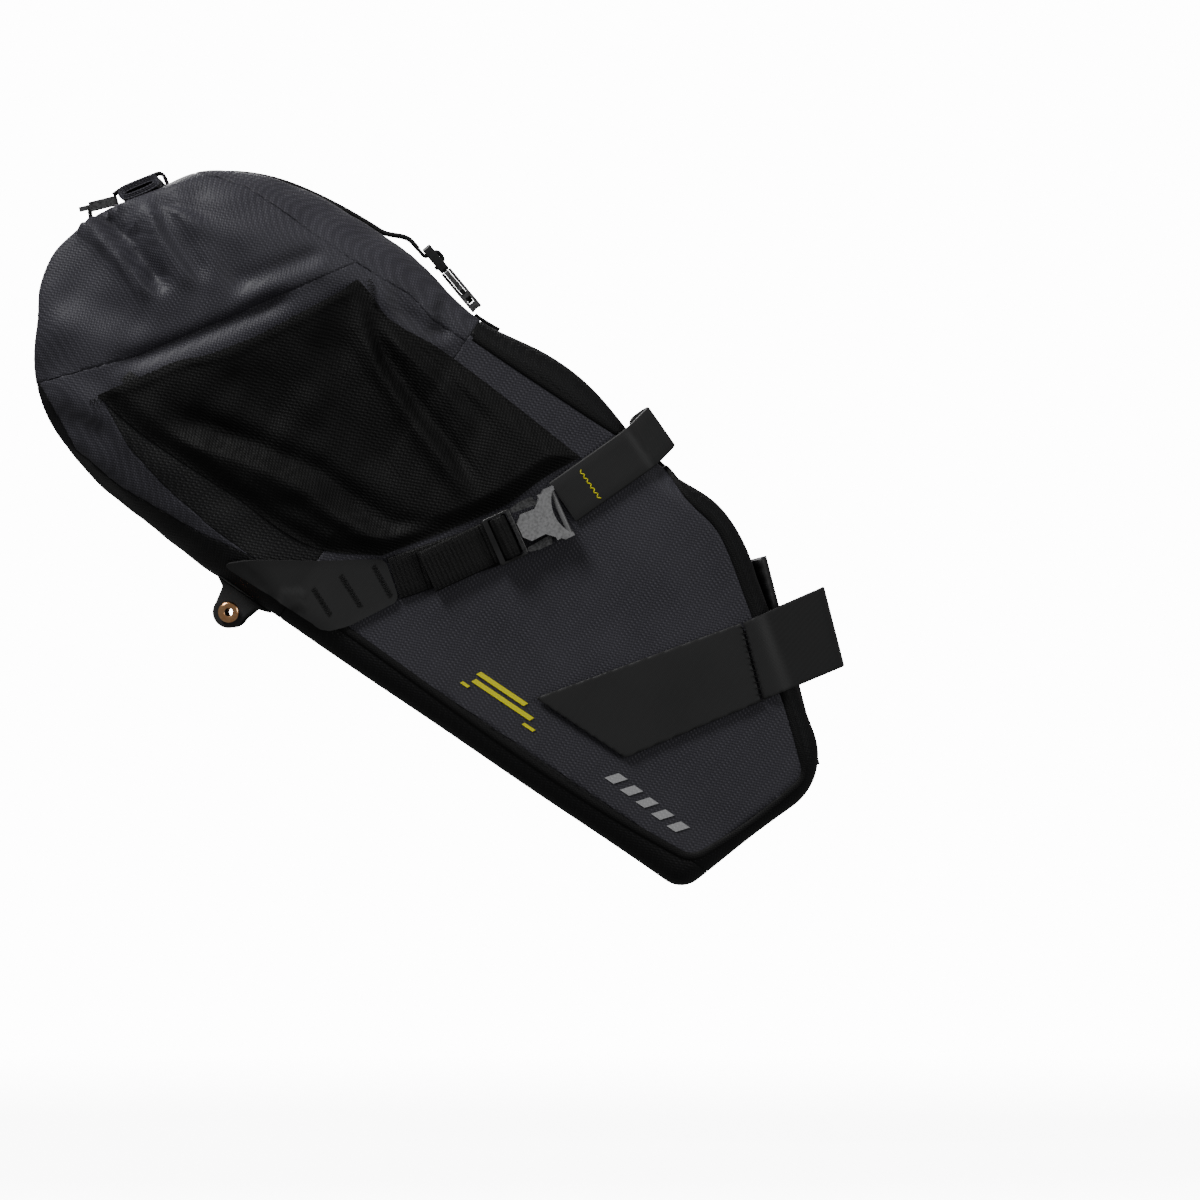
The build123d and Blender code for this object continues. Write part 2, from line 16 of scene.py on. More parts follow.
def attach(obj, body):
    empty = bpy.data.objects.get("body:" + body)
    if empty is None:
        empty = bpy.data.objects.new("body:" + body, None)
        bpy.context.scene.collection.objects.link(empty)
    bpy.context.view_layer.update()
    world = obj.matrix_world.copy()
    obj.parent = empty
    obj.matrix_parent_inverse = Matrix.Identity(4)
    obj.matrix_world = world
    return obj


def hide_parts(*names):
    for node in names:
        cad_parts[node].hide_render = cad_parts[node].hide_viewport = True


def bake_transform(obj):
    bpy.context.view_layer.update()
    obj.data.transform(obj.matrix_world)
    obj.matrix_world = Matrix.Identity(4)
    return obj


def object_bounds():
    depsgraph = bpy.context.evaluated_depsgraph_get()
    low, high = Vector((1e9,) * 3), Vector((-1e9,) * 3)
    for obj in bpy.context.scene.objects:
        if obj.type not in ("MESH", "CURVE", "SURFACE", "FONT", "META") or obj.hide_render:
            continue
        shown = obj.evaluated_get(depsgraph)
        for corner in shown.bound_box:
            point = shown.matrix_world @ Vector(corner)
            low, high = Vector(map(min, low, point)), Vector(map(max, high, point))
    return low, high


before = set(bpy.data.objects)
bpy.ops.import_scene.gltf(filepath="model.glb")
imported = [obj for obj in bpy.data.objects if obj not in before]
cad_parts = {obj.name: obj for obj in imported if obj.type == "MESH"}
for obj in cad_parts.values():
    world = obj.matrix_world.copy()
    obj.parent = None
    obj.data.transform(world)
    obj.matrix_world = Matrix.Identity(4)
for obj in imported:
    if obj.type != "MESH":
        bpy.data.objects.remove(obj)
cad_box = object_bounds()

# ---- the bag's own axes ------------------------------------------------------------------------

MM = 0.001
BAG_TILT = math.radians(34)
POST_TILT = math.radians(14.41)
U_AXIS = Vector((-math.cos(BAG_TILT), 0, math.sin(BAG_TILT)))
V_AXIS = Vector((math.sin(BAG_TILT), 0, math.cos(BAG_TILT)))
BAG = Matrix((U_AXIS, V_AXIS, (0, 1, 0))).transposed().to_4x4() @ Matrix.Scale(MM, 4)
TO_BAG = BAG.inverted()

NOSE_HALF = 31.0
FLARE = 0.118
BOOT_END = 205.0
POST_R = 13.6
PAD_T = 4.4
STRAP_T = 1.6
WEB_T = 1.5
RIGHT, LEFT = -1, 1
SIDES = (("right", RIGHT), ("left", LEFT))


def half_width(u):
    """Half the boot's width at a place along the bag."""
    return NOSE_HALF + FLARE * (u + 40)


def plane_matrix(origin, x_axis, z_axis):
    """A local frame in the bag's axes."""
    x_axis, z_axis = Vector(x_axis).normalized(), Vector(z_axis).normalized()
    turn = Matrix((x_axis, z_axis.cross(x_axis), z_axis)).transposed().to_4x4()
    return Matrix.Translation(origin) @ turn


FACE_TURN = math.atan(FLARE)
FACE_OUT = Vector((-math.sin(FACE_TURN), 0, -math.cos(FACE_TURN)))


def side_point(u, v, lift=0.0):
    """A point over the boot's flat right side."""
    return Vector((u, v, -half_width(u))) + FACE_OUT * lift


def strap_frame(start, end, lift=0.0):
    """A frame on the boot's right side, x from start to end and z outwards."""
    origin = side_point(*start, lift)
    return plane_matrix(origin, side_point(*end, lift) - origin, FACE_OUT)


# ---- camera, light and floor -------------------------------------------------------------------

VIEW_WIDTH = 0.552
CAMERA_BACK = 8.0
camera_data = bpy.data.cameras.new("camera")
camera_data.lens = camera_data.sensor_width * CAMERA_BACK / VIEW_WIDTH
camera = bpy.data.objects.new("camera", camera_data)
bpy.context.scene.collection.objects.link(camera)
camera.location = (-0.0938, -CAMERA_BACK, 0.0184)
camera.rotation_euler = (math.radians(90), 0, 0)
bpy.context.scene.camera = camera


def soft_light(name, place, size, watts):
    """A square softbox that faces the middle of the bag."""
    data = bpy.data.lights.new(name, "AREA")
    data.size = size
    data.energy = watts
    lamp = bpy.data.objects.new(name, data)
    bpy.context.scene.collection.objects.link(lamp)
    lamp.location = place
    target = (cad_box[0] + cad_box[1]) / 2
    lamp.rotation_euler = (target - Vector(place)).to_track_quat("-Z", "Y").to_euler()


soft_light("key_light", (-1.0, -1.0, 1.5), 0.6, 30)
soft_light("fill_light", (1.5, -1.3, 0.5), 0.8, 7)
soft_light("back_light", (-0.6, 1.5, 1.3), 1.0, 18)

# ---- materials ---------------------------------------------------------------------------------


class Nodes:
    """Adds shader nodes to a tree, with each input given as a value or as another node's output."""

    def __init__(self, tree):
        self.tree = tree

    def add(self, kind, inputs=None, **settings):
        node = self.tree.nodes.new("ShaderNode" + kind)
        for name, value in settings.items():
            setattr(node, name, value)
        for name, value in (inputs or {}).items():
            if isinstance(value, bpy.types.NodeSocket):
                self.tree.links.new(value, node.inputs[name])
            else:
                node.inputs[name].default_value = value
        return node

    def math(self, operation, a, b=0.0):
        return self.add("Math", {0: a, 1: b}, operation=operation).outputs[0]

    def span(self, value, low, high, to_low=0.0, to_high=1.0):
        node = self.add("MapRange", {"Value": value, "From Min": low, "From Max": high})
        node.inputs["To Min"].default_value = to_low
        node.inputs["To Max"].default_value = to_high
        return node.outputs[0]


def shader_group(name, inputs, outputs):
    """A new node group with float inputs and the given outputs."""
    tree = bpy.data.node_groups.new(name, "ShaderNodeTree")
    for label, value in inputs.items():
        socket = tree.interface.new_socket(name=label, in_out="INPUT", socket_type="NodeSocketFloat")
        socket.default_value = value
    for label in outputs:
        tree.interface.new_socket(name=label, in_out="OUTPUT", socket_type="NodeSocketFloat")
    nodes = Nodes(tree)
    return nodes, tree.nodes.new("NodeGroupInput").outputs, tree.nodes.new("NodeGroupOutput").inputs


def bag_vector(nodes):
    """Object coordinates turned into the bag's axes."""
    place = nodes.add("TexCoord").outputs["Object"]
    return nodes.add("Mapping", {"Vector": place, "Rotation": (0, BAG_TILT, 0)}).outputs["Vector"]


def weave_group():
    """Crossed threads at a pitch in metres: the cloth's height, and a mask of the threads' crowns."""
    nodes, given, out = shader_group("woven threads", {"Pitch": 0.0014, "Slub": 0.3}, ["Height", "Crowns"])
    vector = bag_vector(nodes)
    wander = nodes.add("TexNoise", {"Vector": vector, "Scale": 90.0, "Detail": 1.0}).outputs["Fac"]
    rate = nodes.math("DIVIDE", 2 * math.pi, given["Pitch"])
    parts = nodes.add("SeparateXYZ", {"Vector": vector}).outputs
    waves = []
    for axis in "XYZ":
        turned = nodes.math("MULTIPLY", parts[axis], rate)
        drift = nodes.math("MULTIPLY", wander, nodes.math("MULTIPLY", given["Slub"], 6.0))
        waves.append(nodes.math("SINE", nodes.math("ADD", turned, drift)))
    across = nodes.math("MULTIPLY", waves[0], waves[2])
    over = nodes.math("MULTIPLY", waves[0], waves[1])
    height = nodes.span(nodes.math("ADD", across, over), -2.0, 2.0)
    fibre = nodes.add("TexNoise", {"Vector": vector, "Scale": 2600.0, "Detail": 2.0}).outputs["Fac"]
    nodes.tree.links.new(nodes.math("ADD", height, nodes.math("MULTIPLY", fibre, 0.35)), out["Height"])
    nodes.tree.links.new(nodes.span(height, 0.45, 0.9), out["Crowns"])
    return nodes.tree


def handling_group():
    """Wear on a handled surface: patches of tone, and a film of dust on faces that look up."""
    nodes, given, out = shader_group("handling", {"Patch": 22.0, "Dust": 0.5}, ["Tone", "Dust"])
    vector = bag_vector(nodes)
    noise = {"Vector": vector, "Scale": given["Patch"], "Detail": 4.0, "Roughness": 0.6}
    cloudy = nodes.add("TexNoise", noise).outputs["Fac"]
    nodes.tree.links.new(nodes.span(cloudy, 0.3, 0.7), out["Tone"])
    upward = nodes.add("SeparateXYZ", {"Vector": nodes.add("NewGeometry").outputs["Normal"]}).outputs["Z"]
    speck = nodes.add("TexNoise", {"Vector": vector, "Scale": 420.0, "Detail": 3.0}).outputs["Fac"]
    settled = nodes.math("MULTIPLY", nodes.span(upward, 0.2, 1.0), nodes.span(speck, 0.45, 0.75))
    nodes.tree.links.new(nodes.math("MULTIPLY", settled, given["Dust"]), out["Dust"])
    return nodes.tree


def edge_group():
    """Rubbed edges: high where the surface turns sharply outwards, broken up by fine scratches."""
    nodes, given, out = shader_group("rubbed edges", {"Reach": 0.06}, ["Mask", "Grain"])
    bend = nodes.add("NewGeometry").outputs["Pointiness"]
    high = nodes.math("ADD", given["Reach"], 0.5)
    worn = nodes.add("MapRange", {"Value": bend, "From Min": 0.51, "From Max": high}).outputs[0]
    vector = bag_vector(nodes)
    grain = nodes.add("TexNoise", {"Vector": vector, "Scale": 900.0, "Detail": 4.0}).outputs["Fac"]
    nodes.tree.links.new(nodes.math("MULTIPLY", worn, nodes.span(grain, 0.3, 0.6)), out["Mask"])
    nodes.tree.links.new(grain, out["Grain"])
    return nodes.tree


WOVEN_THREADS = weave_group()
HANDLING = handling_group()
RUBBED_EDGES = edge_group()


def new_material(name):
    material = bpy.data.materials.new(name)
    material.use_nodes = True
    material.node_tree.nodes.clear()
    nodes = Nodes(material.node_tree)
    shader = nodes.add("BsdfPrincipled")
    nodes.add("OutputMaterial", {"Surface": shader.outputs["BSDF"]})
    return material, nodes, shader


def place_group(nodes, tree, **values):
    node = nodes.add("Group", node_tree=tree)
    for name, value in values.items():
        node.inputs[name].default_value = value
    return node.outputs


def mixed(nodes, share, first, second):
    """A colour between two, by a mask."""
    node = nodes.add("Mix", {"Factor": share}, data_type="RGBA")
    for socket, colour in ((node.inputs[6], first), (node.inputs[7], second)):
        if isinstance(colour, bpy.types.NodeSocket):
            nodes.tree.links.new(colour, socket)
        else:
            socket.default_value = (*colour, 1)
    return node.outputs[2]


def cloth_material(name, dark, light, pitch, relief, rough, dust=0.35, coat=0.0):
    """A woven finish: two tones of thread, cloudy handling, dust on top and threads in relief."""
    material, nodes, shader = new_material(name)
    weave = place_group(nodes, WOVEN_THREADS, Pitch=pitch)
    handled = place_group(nodes, HANDLING, Dust=dust)
    thread = mixed(nodes, weave["Crowns"], dark, light)
    toned = mixed(nodes, nodes.math("MULTIPLY", handled["Tone"], 0.35), thread, light)
    dusty = mixed(nodes, nodes.math("MULTIPLY", handled["Dust"], 0.25), toned, (0.16, 0.155, 0.15))
    nodes.tree.links.new(dusty, shader.inputs["Base Color"])
    gloss = nodes.span(handled["Tone"], 0.0, 1.0, rough - 0.06, rough + 0.08)
    nodes.tree.links.new(gloss, shader.inputs["Roughness"])
    bump = nodes.add("Bump", {"Height": weave["Height"], "Strength": relief, "Distance": pitch * 0.25})
    nodes.tree.links.new(bump.outputs["Normal"], shader.inputs["Normal"])
    shader.inputs["Specular IOR Level"].default_value = 0.28
    shader.inputs["Coat Weight"].default_value = coat
    shader.inputs["Coat Roughness"].default_value = 0.35
    return material


def moulded_material(name, body, rubbed, rough, grain_depth=0.00004, metallic=0.0):
    """A moulded or pressed finish with fine grain and lighter, smoother rubbed edges."""
    material, nodes, shader = new_material(name)
    edges = place_group(nodes, RUBBED_EDGES)
    handled = place_group(nodes, HANDLING, Patch=60.0, Dust=0.4)
    toned = mixed(nodes, nodes.math("MULTIPLY", handled["Tone"], 0.25), body, rubbed)
    worn = mixed(nodes, edges["Mask"], toned, rubbed)
    dusty = mixed(nodes, nodes.math("MULTIPLY", handled["Dust"], 0.3), worn, (0.2, 0.19, 0.18))
    nodes.tree.links.new(dusty, shader.inputs["Base Color"])
    gloss = nodes.span(edges["Mask"], 0.0, 1.0, rough, rough - 0.12)
    nodes.tree.links.new(gloss, shader.inputs["Roughness"])
    bump = nodes.add("Bump", {"Height": edges["Grain"], "Strength": 0.5, "Distance": grain_depth})
    nodes.tree.links.new(bump.outputs["Normal"], shader.inputs["Normal"])
    shader.inputs["Metallic"].default_value = metallic
    return material


LAMINATE = cloth_material(
    "grey laminate", (0.031, 0.030, 0.0375), (0.079, 0.077, 0.093), 0.0017, 0.7, 0.5, coat=0.06
)
# painted shade: a darker laminate for a strip of the sleeve's side along the wing's foot, the same cloth as
# the sleeve's side but coloured darker to stand for the shade there
SHADE_PAINTED_LAMINATE = cloth_material(
    "laminate with painted shade", (0.0065, 0.0065, 0.007), (0.037, 0.037, 0.038), 0.0019, 0.9, 0.55
)
BLACK_LAMINATE = cloth_material(
    "black laminate", (0.0035, 0.0035, 0.004), (0.010, 0.010, 0.011), 0.0017, 0.7, 0.55
)
RIPSTOP = cloth_material(
    "black ripstop", (0.0018, 0.0018, 0.0018), (0.0098, 0.0098, 0.0098), 0.0020, 1.0, 0.66
)
COATED_STRAP = cloth_material(
    "coated strap", (0.025, 0.025, 0.0254), (0.037, 0.037, 0.0376), 0.0008, 0.2, 0.5
)
BINDING = cloth_material("binding tape", (0.002, 0.002, 0.0021), (0.006, 0.006, 0.0065), 0.0012, 0.7, 0.65)
WEBBING = cloth_material("webbing", (0.0015, 0.0015, 0.0015), (0.014, 0.014, 0.014), 0.0009, 0.9, 0.5)
THREAD = cloth_material("black thread", (0.002, 0.002, 0.002), (0.008, 0.008, 0.008), 0.0004, 0.5, 0.6)
HOOK_TAPE = cloth_material("hook tape", (0.003, 0.003, 0.003), (0.010, 0.010, 0.010), 0.001, 1.0, 0.8)
YELLOW_THREAD = cloth_material(
    "yellow thread", (0.75, 0.68, 0.01), (0.95, 0.9, 0.03), 0.0004, 0.4, 0.5, dust=0.1
)
YELLOW_PRINT = cloth_material(
    "yellow print", (0.85, 0.78, 0.005), (0.95, 0.88, 0.02), 0.0017, 0.3, 0.5, dust=0.1
)
GREY_PRINT = cloth_material("grey print", (0.40, 0.40, 0.41), (0.52, 0.52, 0.53), 0.0017, 0.3, 0.4, dust=0.1)
BLACK_PLASTIC = moulded_material("black buckle plastic", (0.008, 0.008, 0.0083), (0.09, 0.09, 0.092), 0.22)
GREY_PLASTIC = moulded_material("grey buckle plastic", (0.16, 0.16, 0.162), (0.3, 0.3, 0.305), 0.34)
STIFFENER = moulded_material("stiffener sheet", (0.02, 0.02, 0.022), (0.04, 0.04, 0.043), 0.45)
PAD_RUBBER = moulded_material("pad rubber", (0.010, 0.010, 0.0105), (0.022, 0.022, 0.023), 0.62, 0.0001)
COPPER = moulded_material("copper eyelet", (0.85, 0.36, 0.13), (1.0, 0.6, 0.32), 0.26, 0.00002, 1.0)

world = bpy.data.worlds.new("studio")
bpy.context.scene.world = world
world.use_nodes = True
world.node_tree.nodes.clear()
studio = Nodes(world.node_tree)
BACKDROP, ROOM_LIGHT = 14.0, 0.16
seen = studio.add("LightPath").outputs["Is Camera Ray"]
level = studio.span(seen, 0.0, 1.0, ROOM_LIGHT, BACKDROP)
room = studio.add("Background", {"Color": (1, 1, 1, 1), "Strength": level})
studio.add("OutputWorld", {"Surface": room.outputs[0]})

floor_material, floor_nodes, floor_shader = new_material("pale floor")
floor_place = floor_nodes.add("TexCoord").outputs["Object"]
floor_grain = floor_nodes.add("TexNoise", {"Vector": floor_place, "Scale": 3.0}).outputs["Fac"]
floor_tone = mixed(floor_nodes, floor_grain, (0.80, 0.80, 0.80), (0.84, 0.84, 0.84))
floor_nodes.tree.links.new(floor_tone, floor_shader.inputs["Base Color"])
floor_shader.inputs["Roughness"].default_value = 0.9
floor_shader.inputs["Emission Color"].default_value = (1, 1, 1, 1)
floor_shader.inputs["Emission Strength"].default_value = 9.0
floor_distance = floor_nodes.add("VectorMath", {0: floor_place}, operation="LENGTH").outputs["Value"]
floor_nodes.tree.links.new(floor_nodes.span(floor_distance, 0.5, 1.6, 1.0, 0.0), floor_shader.inputs["Alpha"])
FLOOR_DROP = 0.12
floor_mesh = bpy.data.meshes.new("floor")
floor_form = bmesh.new()
bmesh.ops.create_circle(floor_form, cap_ends=True, radius=1.7, segments=96)
floor_form.to_mesh(floor_mesh)
floor_form.free()
floor = bpy.data.objects.new("floor", floor_mesh)
floor_mesh.materials.append(floor_material)
bpy.context.scene.collection.objects.link(floor)
floor.location = (-0.17, 0, cad_box[0].z - FLOOR_DROP)
floor.visible_diffuse = False
floor.visible_glossy = False

# ---- making meshes -----------------------------------------------------------------------------


def piece(name, form, material, body="root", stands_for=(), side=RIGHT, corner=40):
    """Turn a form in the bag's axes into an object that rides on a body; side LEFT makes the mirror image."""
    if side == LEFT:
        for vertex in form.verts:
            vertex.co.z = -vertex.co.z
        bmesh.ops.reverse_faces(form, faces=form.faces)
    mesh = bpy.data.meshes.new(name)
    form.to_mesh(mesh)
    form.free()
    mesh.transform(BAG)
    mesh.shade_smooth()
    mesh.set_sharp_from_angle(angle=math.radians(corner))
    mesh.materials.append(material)
    thing = bpy.data.objects.new(name, mesh)
    bpy.context.scene.collection.objects.link(thing)
    if body:
        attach(thing, body)
    if stands_for:
        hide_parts(*stands_for)
    return thing


def form_of(points, faces):
    """A form from lists of points and faces."""
    mesh = bpy.data.meshes.new("draft")
    mesh.from_pydata([tuple(p) for p in points], [], faces)
    form = bmesh.new()
    form.from_mesh(mesh)
    bpy.data.meshes.remove(mesh)
    return form


def loft(rings, closed=True, capped=True):
    """Faces between rings of equally many points."""
    rings = [list(ring) for ring in rings]
    count = len(rings[0])
    points = [p for ring in rings for p in ring]
    faces = []
    for row in range(len(rings) - 1):
        for column in range(count if closed else count - 1):
            a = row * count + column
            b = row * count + (column + 1) % count
            faces.append((a, b, b + count, a + count))
    if capped:
        faces.append(tuple(range(count))[::-1])
        faces.append(tuple(range(len(points) - count, len(points))))
    form = form_of(points, faces)
    bmesh.ops.recalc_face_normals(form, faces=form.faces)
    return form


def joined(forms):
    """Several forms as one."""
    whole = bmesh.new()
    mesh = bpy.data.meshes.new("draft")
    for form in forms:
        form.to_mesh(mesh)
        whole.from_mesh(mesh)
        form.free()
    bpy.data.meshes.remove(mesh)
    return whole


def softened(node, voxel, smooth=4):
    """A CAD node's own shape with its edges rounded off, in the bag's axes, in millimetres."""
    draft = bpy.data.objects.new("draft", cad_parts[node].data.copy())
    bpy.context.scene.collection.objects.link(draft)
    draft.data.transform(TO_BAG)
    remesh = draft.modifiers.new("remesh", "REMESH")
    remesh.mode = "VOXEL"
    remesh.voxel_size = voxel
    relax = draft.modifiers.new("relax", "SMOOTH")
    relax.iterations = smooth
    relax.factor = 0.5
    done = draft.evaluated_get(bpy.context.evaluated_depsgraph_get()).to_mesh()
    form = bmesh.new()
    form.from_mesh(done)
    mesh = draft.data
    bpy.data.objects.remove(draft)
    bpy.data.meshes.remove(mesh)
    return form


def to_path(points, path):
    """Distance to a polyline in (u, v), which side of it, and how far along it, for each point."""
    best = np.full(len(points), 1e9)
    side = np.zeros(len(points))
    along = np.zeros(len(points))
    path = np.array(path, float)
    steps = np.linalg.norm(np.diff(path, axis=0), axis=1)
    starts = np.concatenate(([0], np.cumsum(steps)))
    for k, (a, b) in enumerate(zip(path[:-1], path[1:])):
        d = (b - a) / steps[k]
        t = np.clip((points - a) @ d, 0, steps[k])
        off = points - a - np.outer(t, d)
        away = np.hypot(off[:, 0], off[:, 1])
        near = away < best
        best[near] = away[near]
        side[near] = np.sign(d[0] * off[near, 1] - d[1] * off[near, 0])
        along[near] = (starts[k] + t[near]) / starts[-1]
    return best, side, along


def within(points, outline):
    """True for each point inside a closed outline."""
    inside = np.zeros(len(points), bool)
    x, y = points[:, 0], points[:, 1]
    for (x0, y0), (x1, y1) in zip(outline, [*outline[1:], outline[0]]):
        if y0 != y1:
            crosses = (y0 > y) != (y1 > y)
            inside ^= crosses & (x < (x1 - x0) * (y - y0) / (y1 - y0) + x0)
    return inside


def rounded(outline, radius, steps=5):
    """A closed outline with each corner replaced by an arc-like curve."""
    smooth = []
    count = len(outline)
    for k in range(count):
        before, here, after = (Vector(outline[(k + n) % count]) for n in (-1, 0, 1))
        reach = min(radius, (before - here).length / 2.2, (after - here).length / 2.2)
        start = here + (before - here).normalized() * reach
        end = here + (after - here).normalized() * reach
        for n in range(steps + 1):
            t = n / steps
            smooth.append(tuple(start * (1 - t) ** 2 + here * 2 * t * (1 - t) + end * t * t))
    return smooth


def score(form, path, near=5.0, only=None):
    """Cut a form's faces along a path in (u, v), leaving every face on one side of it."""
    faces = list(form.faces)
    centres = np.array([f.calc_center_median()[:] for f in faces])
    close = to_path(centres[:, :2], path)[0] < near
    if only is not None:
        close &= only(centres)
    chosen = {faces[k] for k in np.flatnonzero(close)}
    for (u0, v0), (u1, v1) in zip(path[:-1], path[1:]):
        middle = Vector(((u0 + u1) / 2, (v0 + v1) / 2, 0))
        normal = Vector((v1 - v0, u0 - u1, 0)).normalized()
        reach = math.hypot(u1 - u0, v1 - v0) / 2 + near / 2
        local = []
        for face in chosen:
            if face.is_valid:
                off = face.calc_center_median() - middle
                if math.hypot(off.x, off.y) < reach + near:
                    local.append(face)
        edges = {e for f in local for e in f.edges}
        verts = {v for f in local for v in f.verts}
        made = bmesh.ops.bisect_plane(
            form, geom=[*local, *edges, *verts], dist=0.02, plane_co=middle, plane_no=normal
        )
        chosen.update(g for g in made["geom"] if isinstance(g, bmesh.types.BMFace))
        chosen = {f for f in chosen if f.is_valid}


def smoothstep(low, high, value):
    t = np.clip((value - low) / (high - low), 0, 1)
    return t * t * (3 - 2 * t)


def soft_noise(points, size, seed):
    """Smooth random height from -1 to 1 that changes over about the given size."""
    draw = np.random.default_rng(seed)
    total = np.zeros(len(points))
    for _ in range(9):
        way = draw.normal(size=3)
        way *= draw.uniform(0.6, 1.5) * 2 * math.pi / size / np.linalg.norm(way)
        total += np.sin(points @ way + draw.uniform(0, 2 * math.pi))
    return total / 4


# ---- the skin: one closed grid over the CAD shell, then its folds ------------------------------

SHELL_NAMES = ("base_panel", "nose_panel", "boot_", "sleeve_", "roll_collar")
SHELL = [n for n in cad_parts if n.startswith(SHELL_NAMES)]
SPINE = (np.array((40.0, -60.0, 0.0)), np.array((300.0, -42.0, 0.0)))
CELL = 1.7
AROUND = 372
RAYS = 480
TIP_FAN = 130
TIP_END = 89.4
ROLL_START = Vector((358.06, 7.67, 0))
ROLL_WAY = Vector((0.5603, -0.8283, 0))
ROLL_OUT = Vector((0.8283, 0.5603, 0))
ROLL_L, ROLL_T, ROLL_HALF, ROLL_LIFT = 21.0, 7.0, 72.0, 0.8
MOUTH_L, MOUTH_HALF = 12.0, 60.0


def shell_surface():
    """The CAD shell in the bag's axes, with its mouth covered over."""
    points, faces = [], []
    for name in SHELL:
        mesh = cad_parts[name].data
        start = len(points)
        points.extend(TO_BAG @ v.co for v in mesh.vertices)
        faces.extend(tuple(start + k for k in p.vertices) for p in mesh.polygons)
    start = len(points)
    for along, y in ((3, -62), (18, -62), (18, 62), (3, 62)):
        points.append(ROLL_START + ROLL_WAY * along + Vector((0, 0, y)))
    faces.append(tuple(range(start, start + 4)))
    return BVHTree.FromPolygons(points, faces)


def even_ring(points):
    """A closed ring, symmetric about its start, redrawn with evenly spaced points."""
    half = len(points) // 2
    drawn = []
    for part in (points[: half + 1], np.vstack((points[half:], points[:1]))):
        steps = np.concatenate(([0], np.cumsum(np.linalg.norm(np.diff(part, axis=0), axis=1))))
        wanted = np.linspace(0, steps[-1], AROUND // 2 + 1)[:-1]
        drawn.append(np.column_stack([np.interp(wanted, steps, part[:, k]) for k in range(3)]))
    return np.vstack(drawn)


def skin_grid():
    """Rings round the bag from its nose to its rear, each point the shell's outermost along a ray."""
    shell = shell_surface()
    start, end = SPINE
    along = (end - start) / np.linalg.norm(end - start)
    down = np.array((along[1], -along[0], 0))
    left = np.array((0, 0, 1.0))
    turns = np.linspace(0, 2 * math.pi, RAYS, endpoint=False)
    fan = int(TIP_FAN / CELL)
    stations = [(start, t) for t in np.linspace(-TIP_END, 0, fan, endpoint=False)]
    rows = int(np.linalg.norm(end - start) / CELL)
    stations += [(start + (end - start) * t, 0.0) for t in np.linspace(0, 1, rows, endpoint=False)]
    stations += [(end, t) for t in np.linspace(0, TIP_END, fan)]
    rings = []
    for middle, tip in stations:
        ring = []
        for turn in turns:
            way = math.cos(math.radians(tip)) * (math.cos(turn) * down + math.sin(turn) * left)
            way += math.sin(math.radians(tip)) * along
            hit = shell.ray_cast(Vector(middle + way * 400), Vector(-way))[0]
            ring.append(hit[:])
        rings.append(even_ring(np.array(ring)))
    return np.array(rings)


def grid_normals(grid):
    """Outward directions of a grid of rings."""
    round_it = np.roll(grid, -1, axis=1) - np.roll(grid, 1, axis=1)
    along = np.gradient(grid, axis=0)
    out = np.cross(round_it, along)
    out /= np.maximum(np.linalg.norm(out, axis=2, keepdims=True), 1e-9)
    flip = np.sign((out[len(out) // 2] * (grid[len(out) // 2] - grid[len(out) // 2].mean(axis=0))).sum())
    return out * flip


def crease(points, path, width, depth, lip=0.0, fade=0.2):
    """Height of a fold along a path in (u, v): a hollow, with a lip of cloth on its left."""
    away, side, along = to_path(points[:, :2], path)
    ends = smoothstep(0, fade, along) * smoothstep(0, fade, 1 - along)
    hollow = -depth * np.exp(-((away / width) ** 2))
    raised = lip * np.exp(-(((away * side - 1.5 * width) / width) ** 2))
    return (hollow + raised) * ends


FOLD_DEEPEST = 7
FOLD_HIGHEST = 4.5
# folds in the sleeve's sides: path, width, depth and lip
SIDE_FOLDS = [
    ([(384, -16), (370, -20), (356, -23), (342, -27), (329, -33)], 4.5, 5.5, 3.6),
    ([(378, -4), (366, -14), (354, -22)], 6.0, 3.0, 1.6),
    ([(374, -58), (358, -54), (342, -52), (326, -54)], 9.0, 1.8, 1.4),
    ([(362, 6), (348, -3), (334, -9), (316, -18)], 5.0, 2.6, 2.2),
    ([(354, 14), (336, 8), (318, 0), (298, -10)], 8.0, 2.0, 1.6),
    ([(309, -16), (297, 2), (287, 16), (280, 27)], 4.5, 1.8, 1.6),
    ([(362, -98), (350, -88), (336, -84), (318, -84)], 8.0, 1.6, 1.0),
    ([(250, 30), (236, 22), (222, 21), (209, 27)], 4.0, 1.3, 1.0),
    ([(226, 38), (219, 30), (214, 20)], 4.5, 1.6, 1.0),
    ([(345, -106), (318, -102), (290, -106), (262, -108)], 6.0, 1.2, 0.8),
    ([(334, -77), (321, -60), (307, -40), (288, -11), (279, 4)], 4.2, 3.2, 0.0),
]


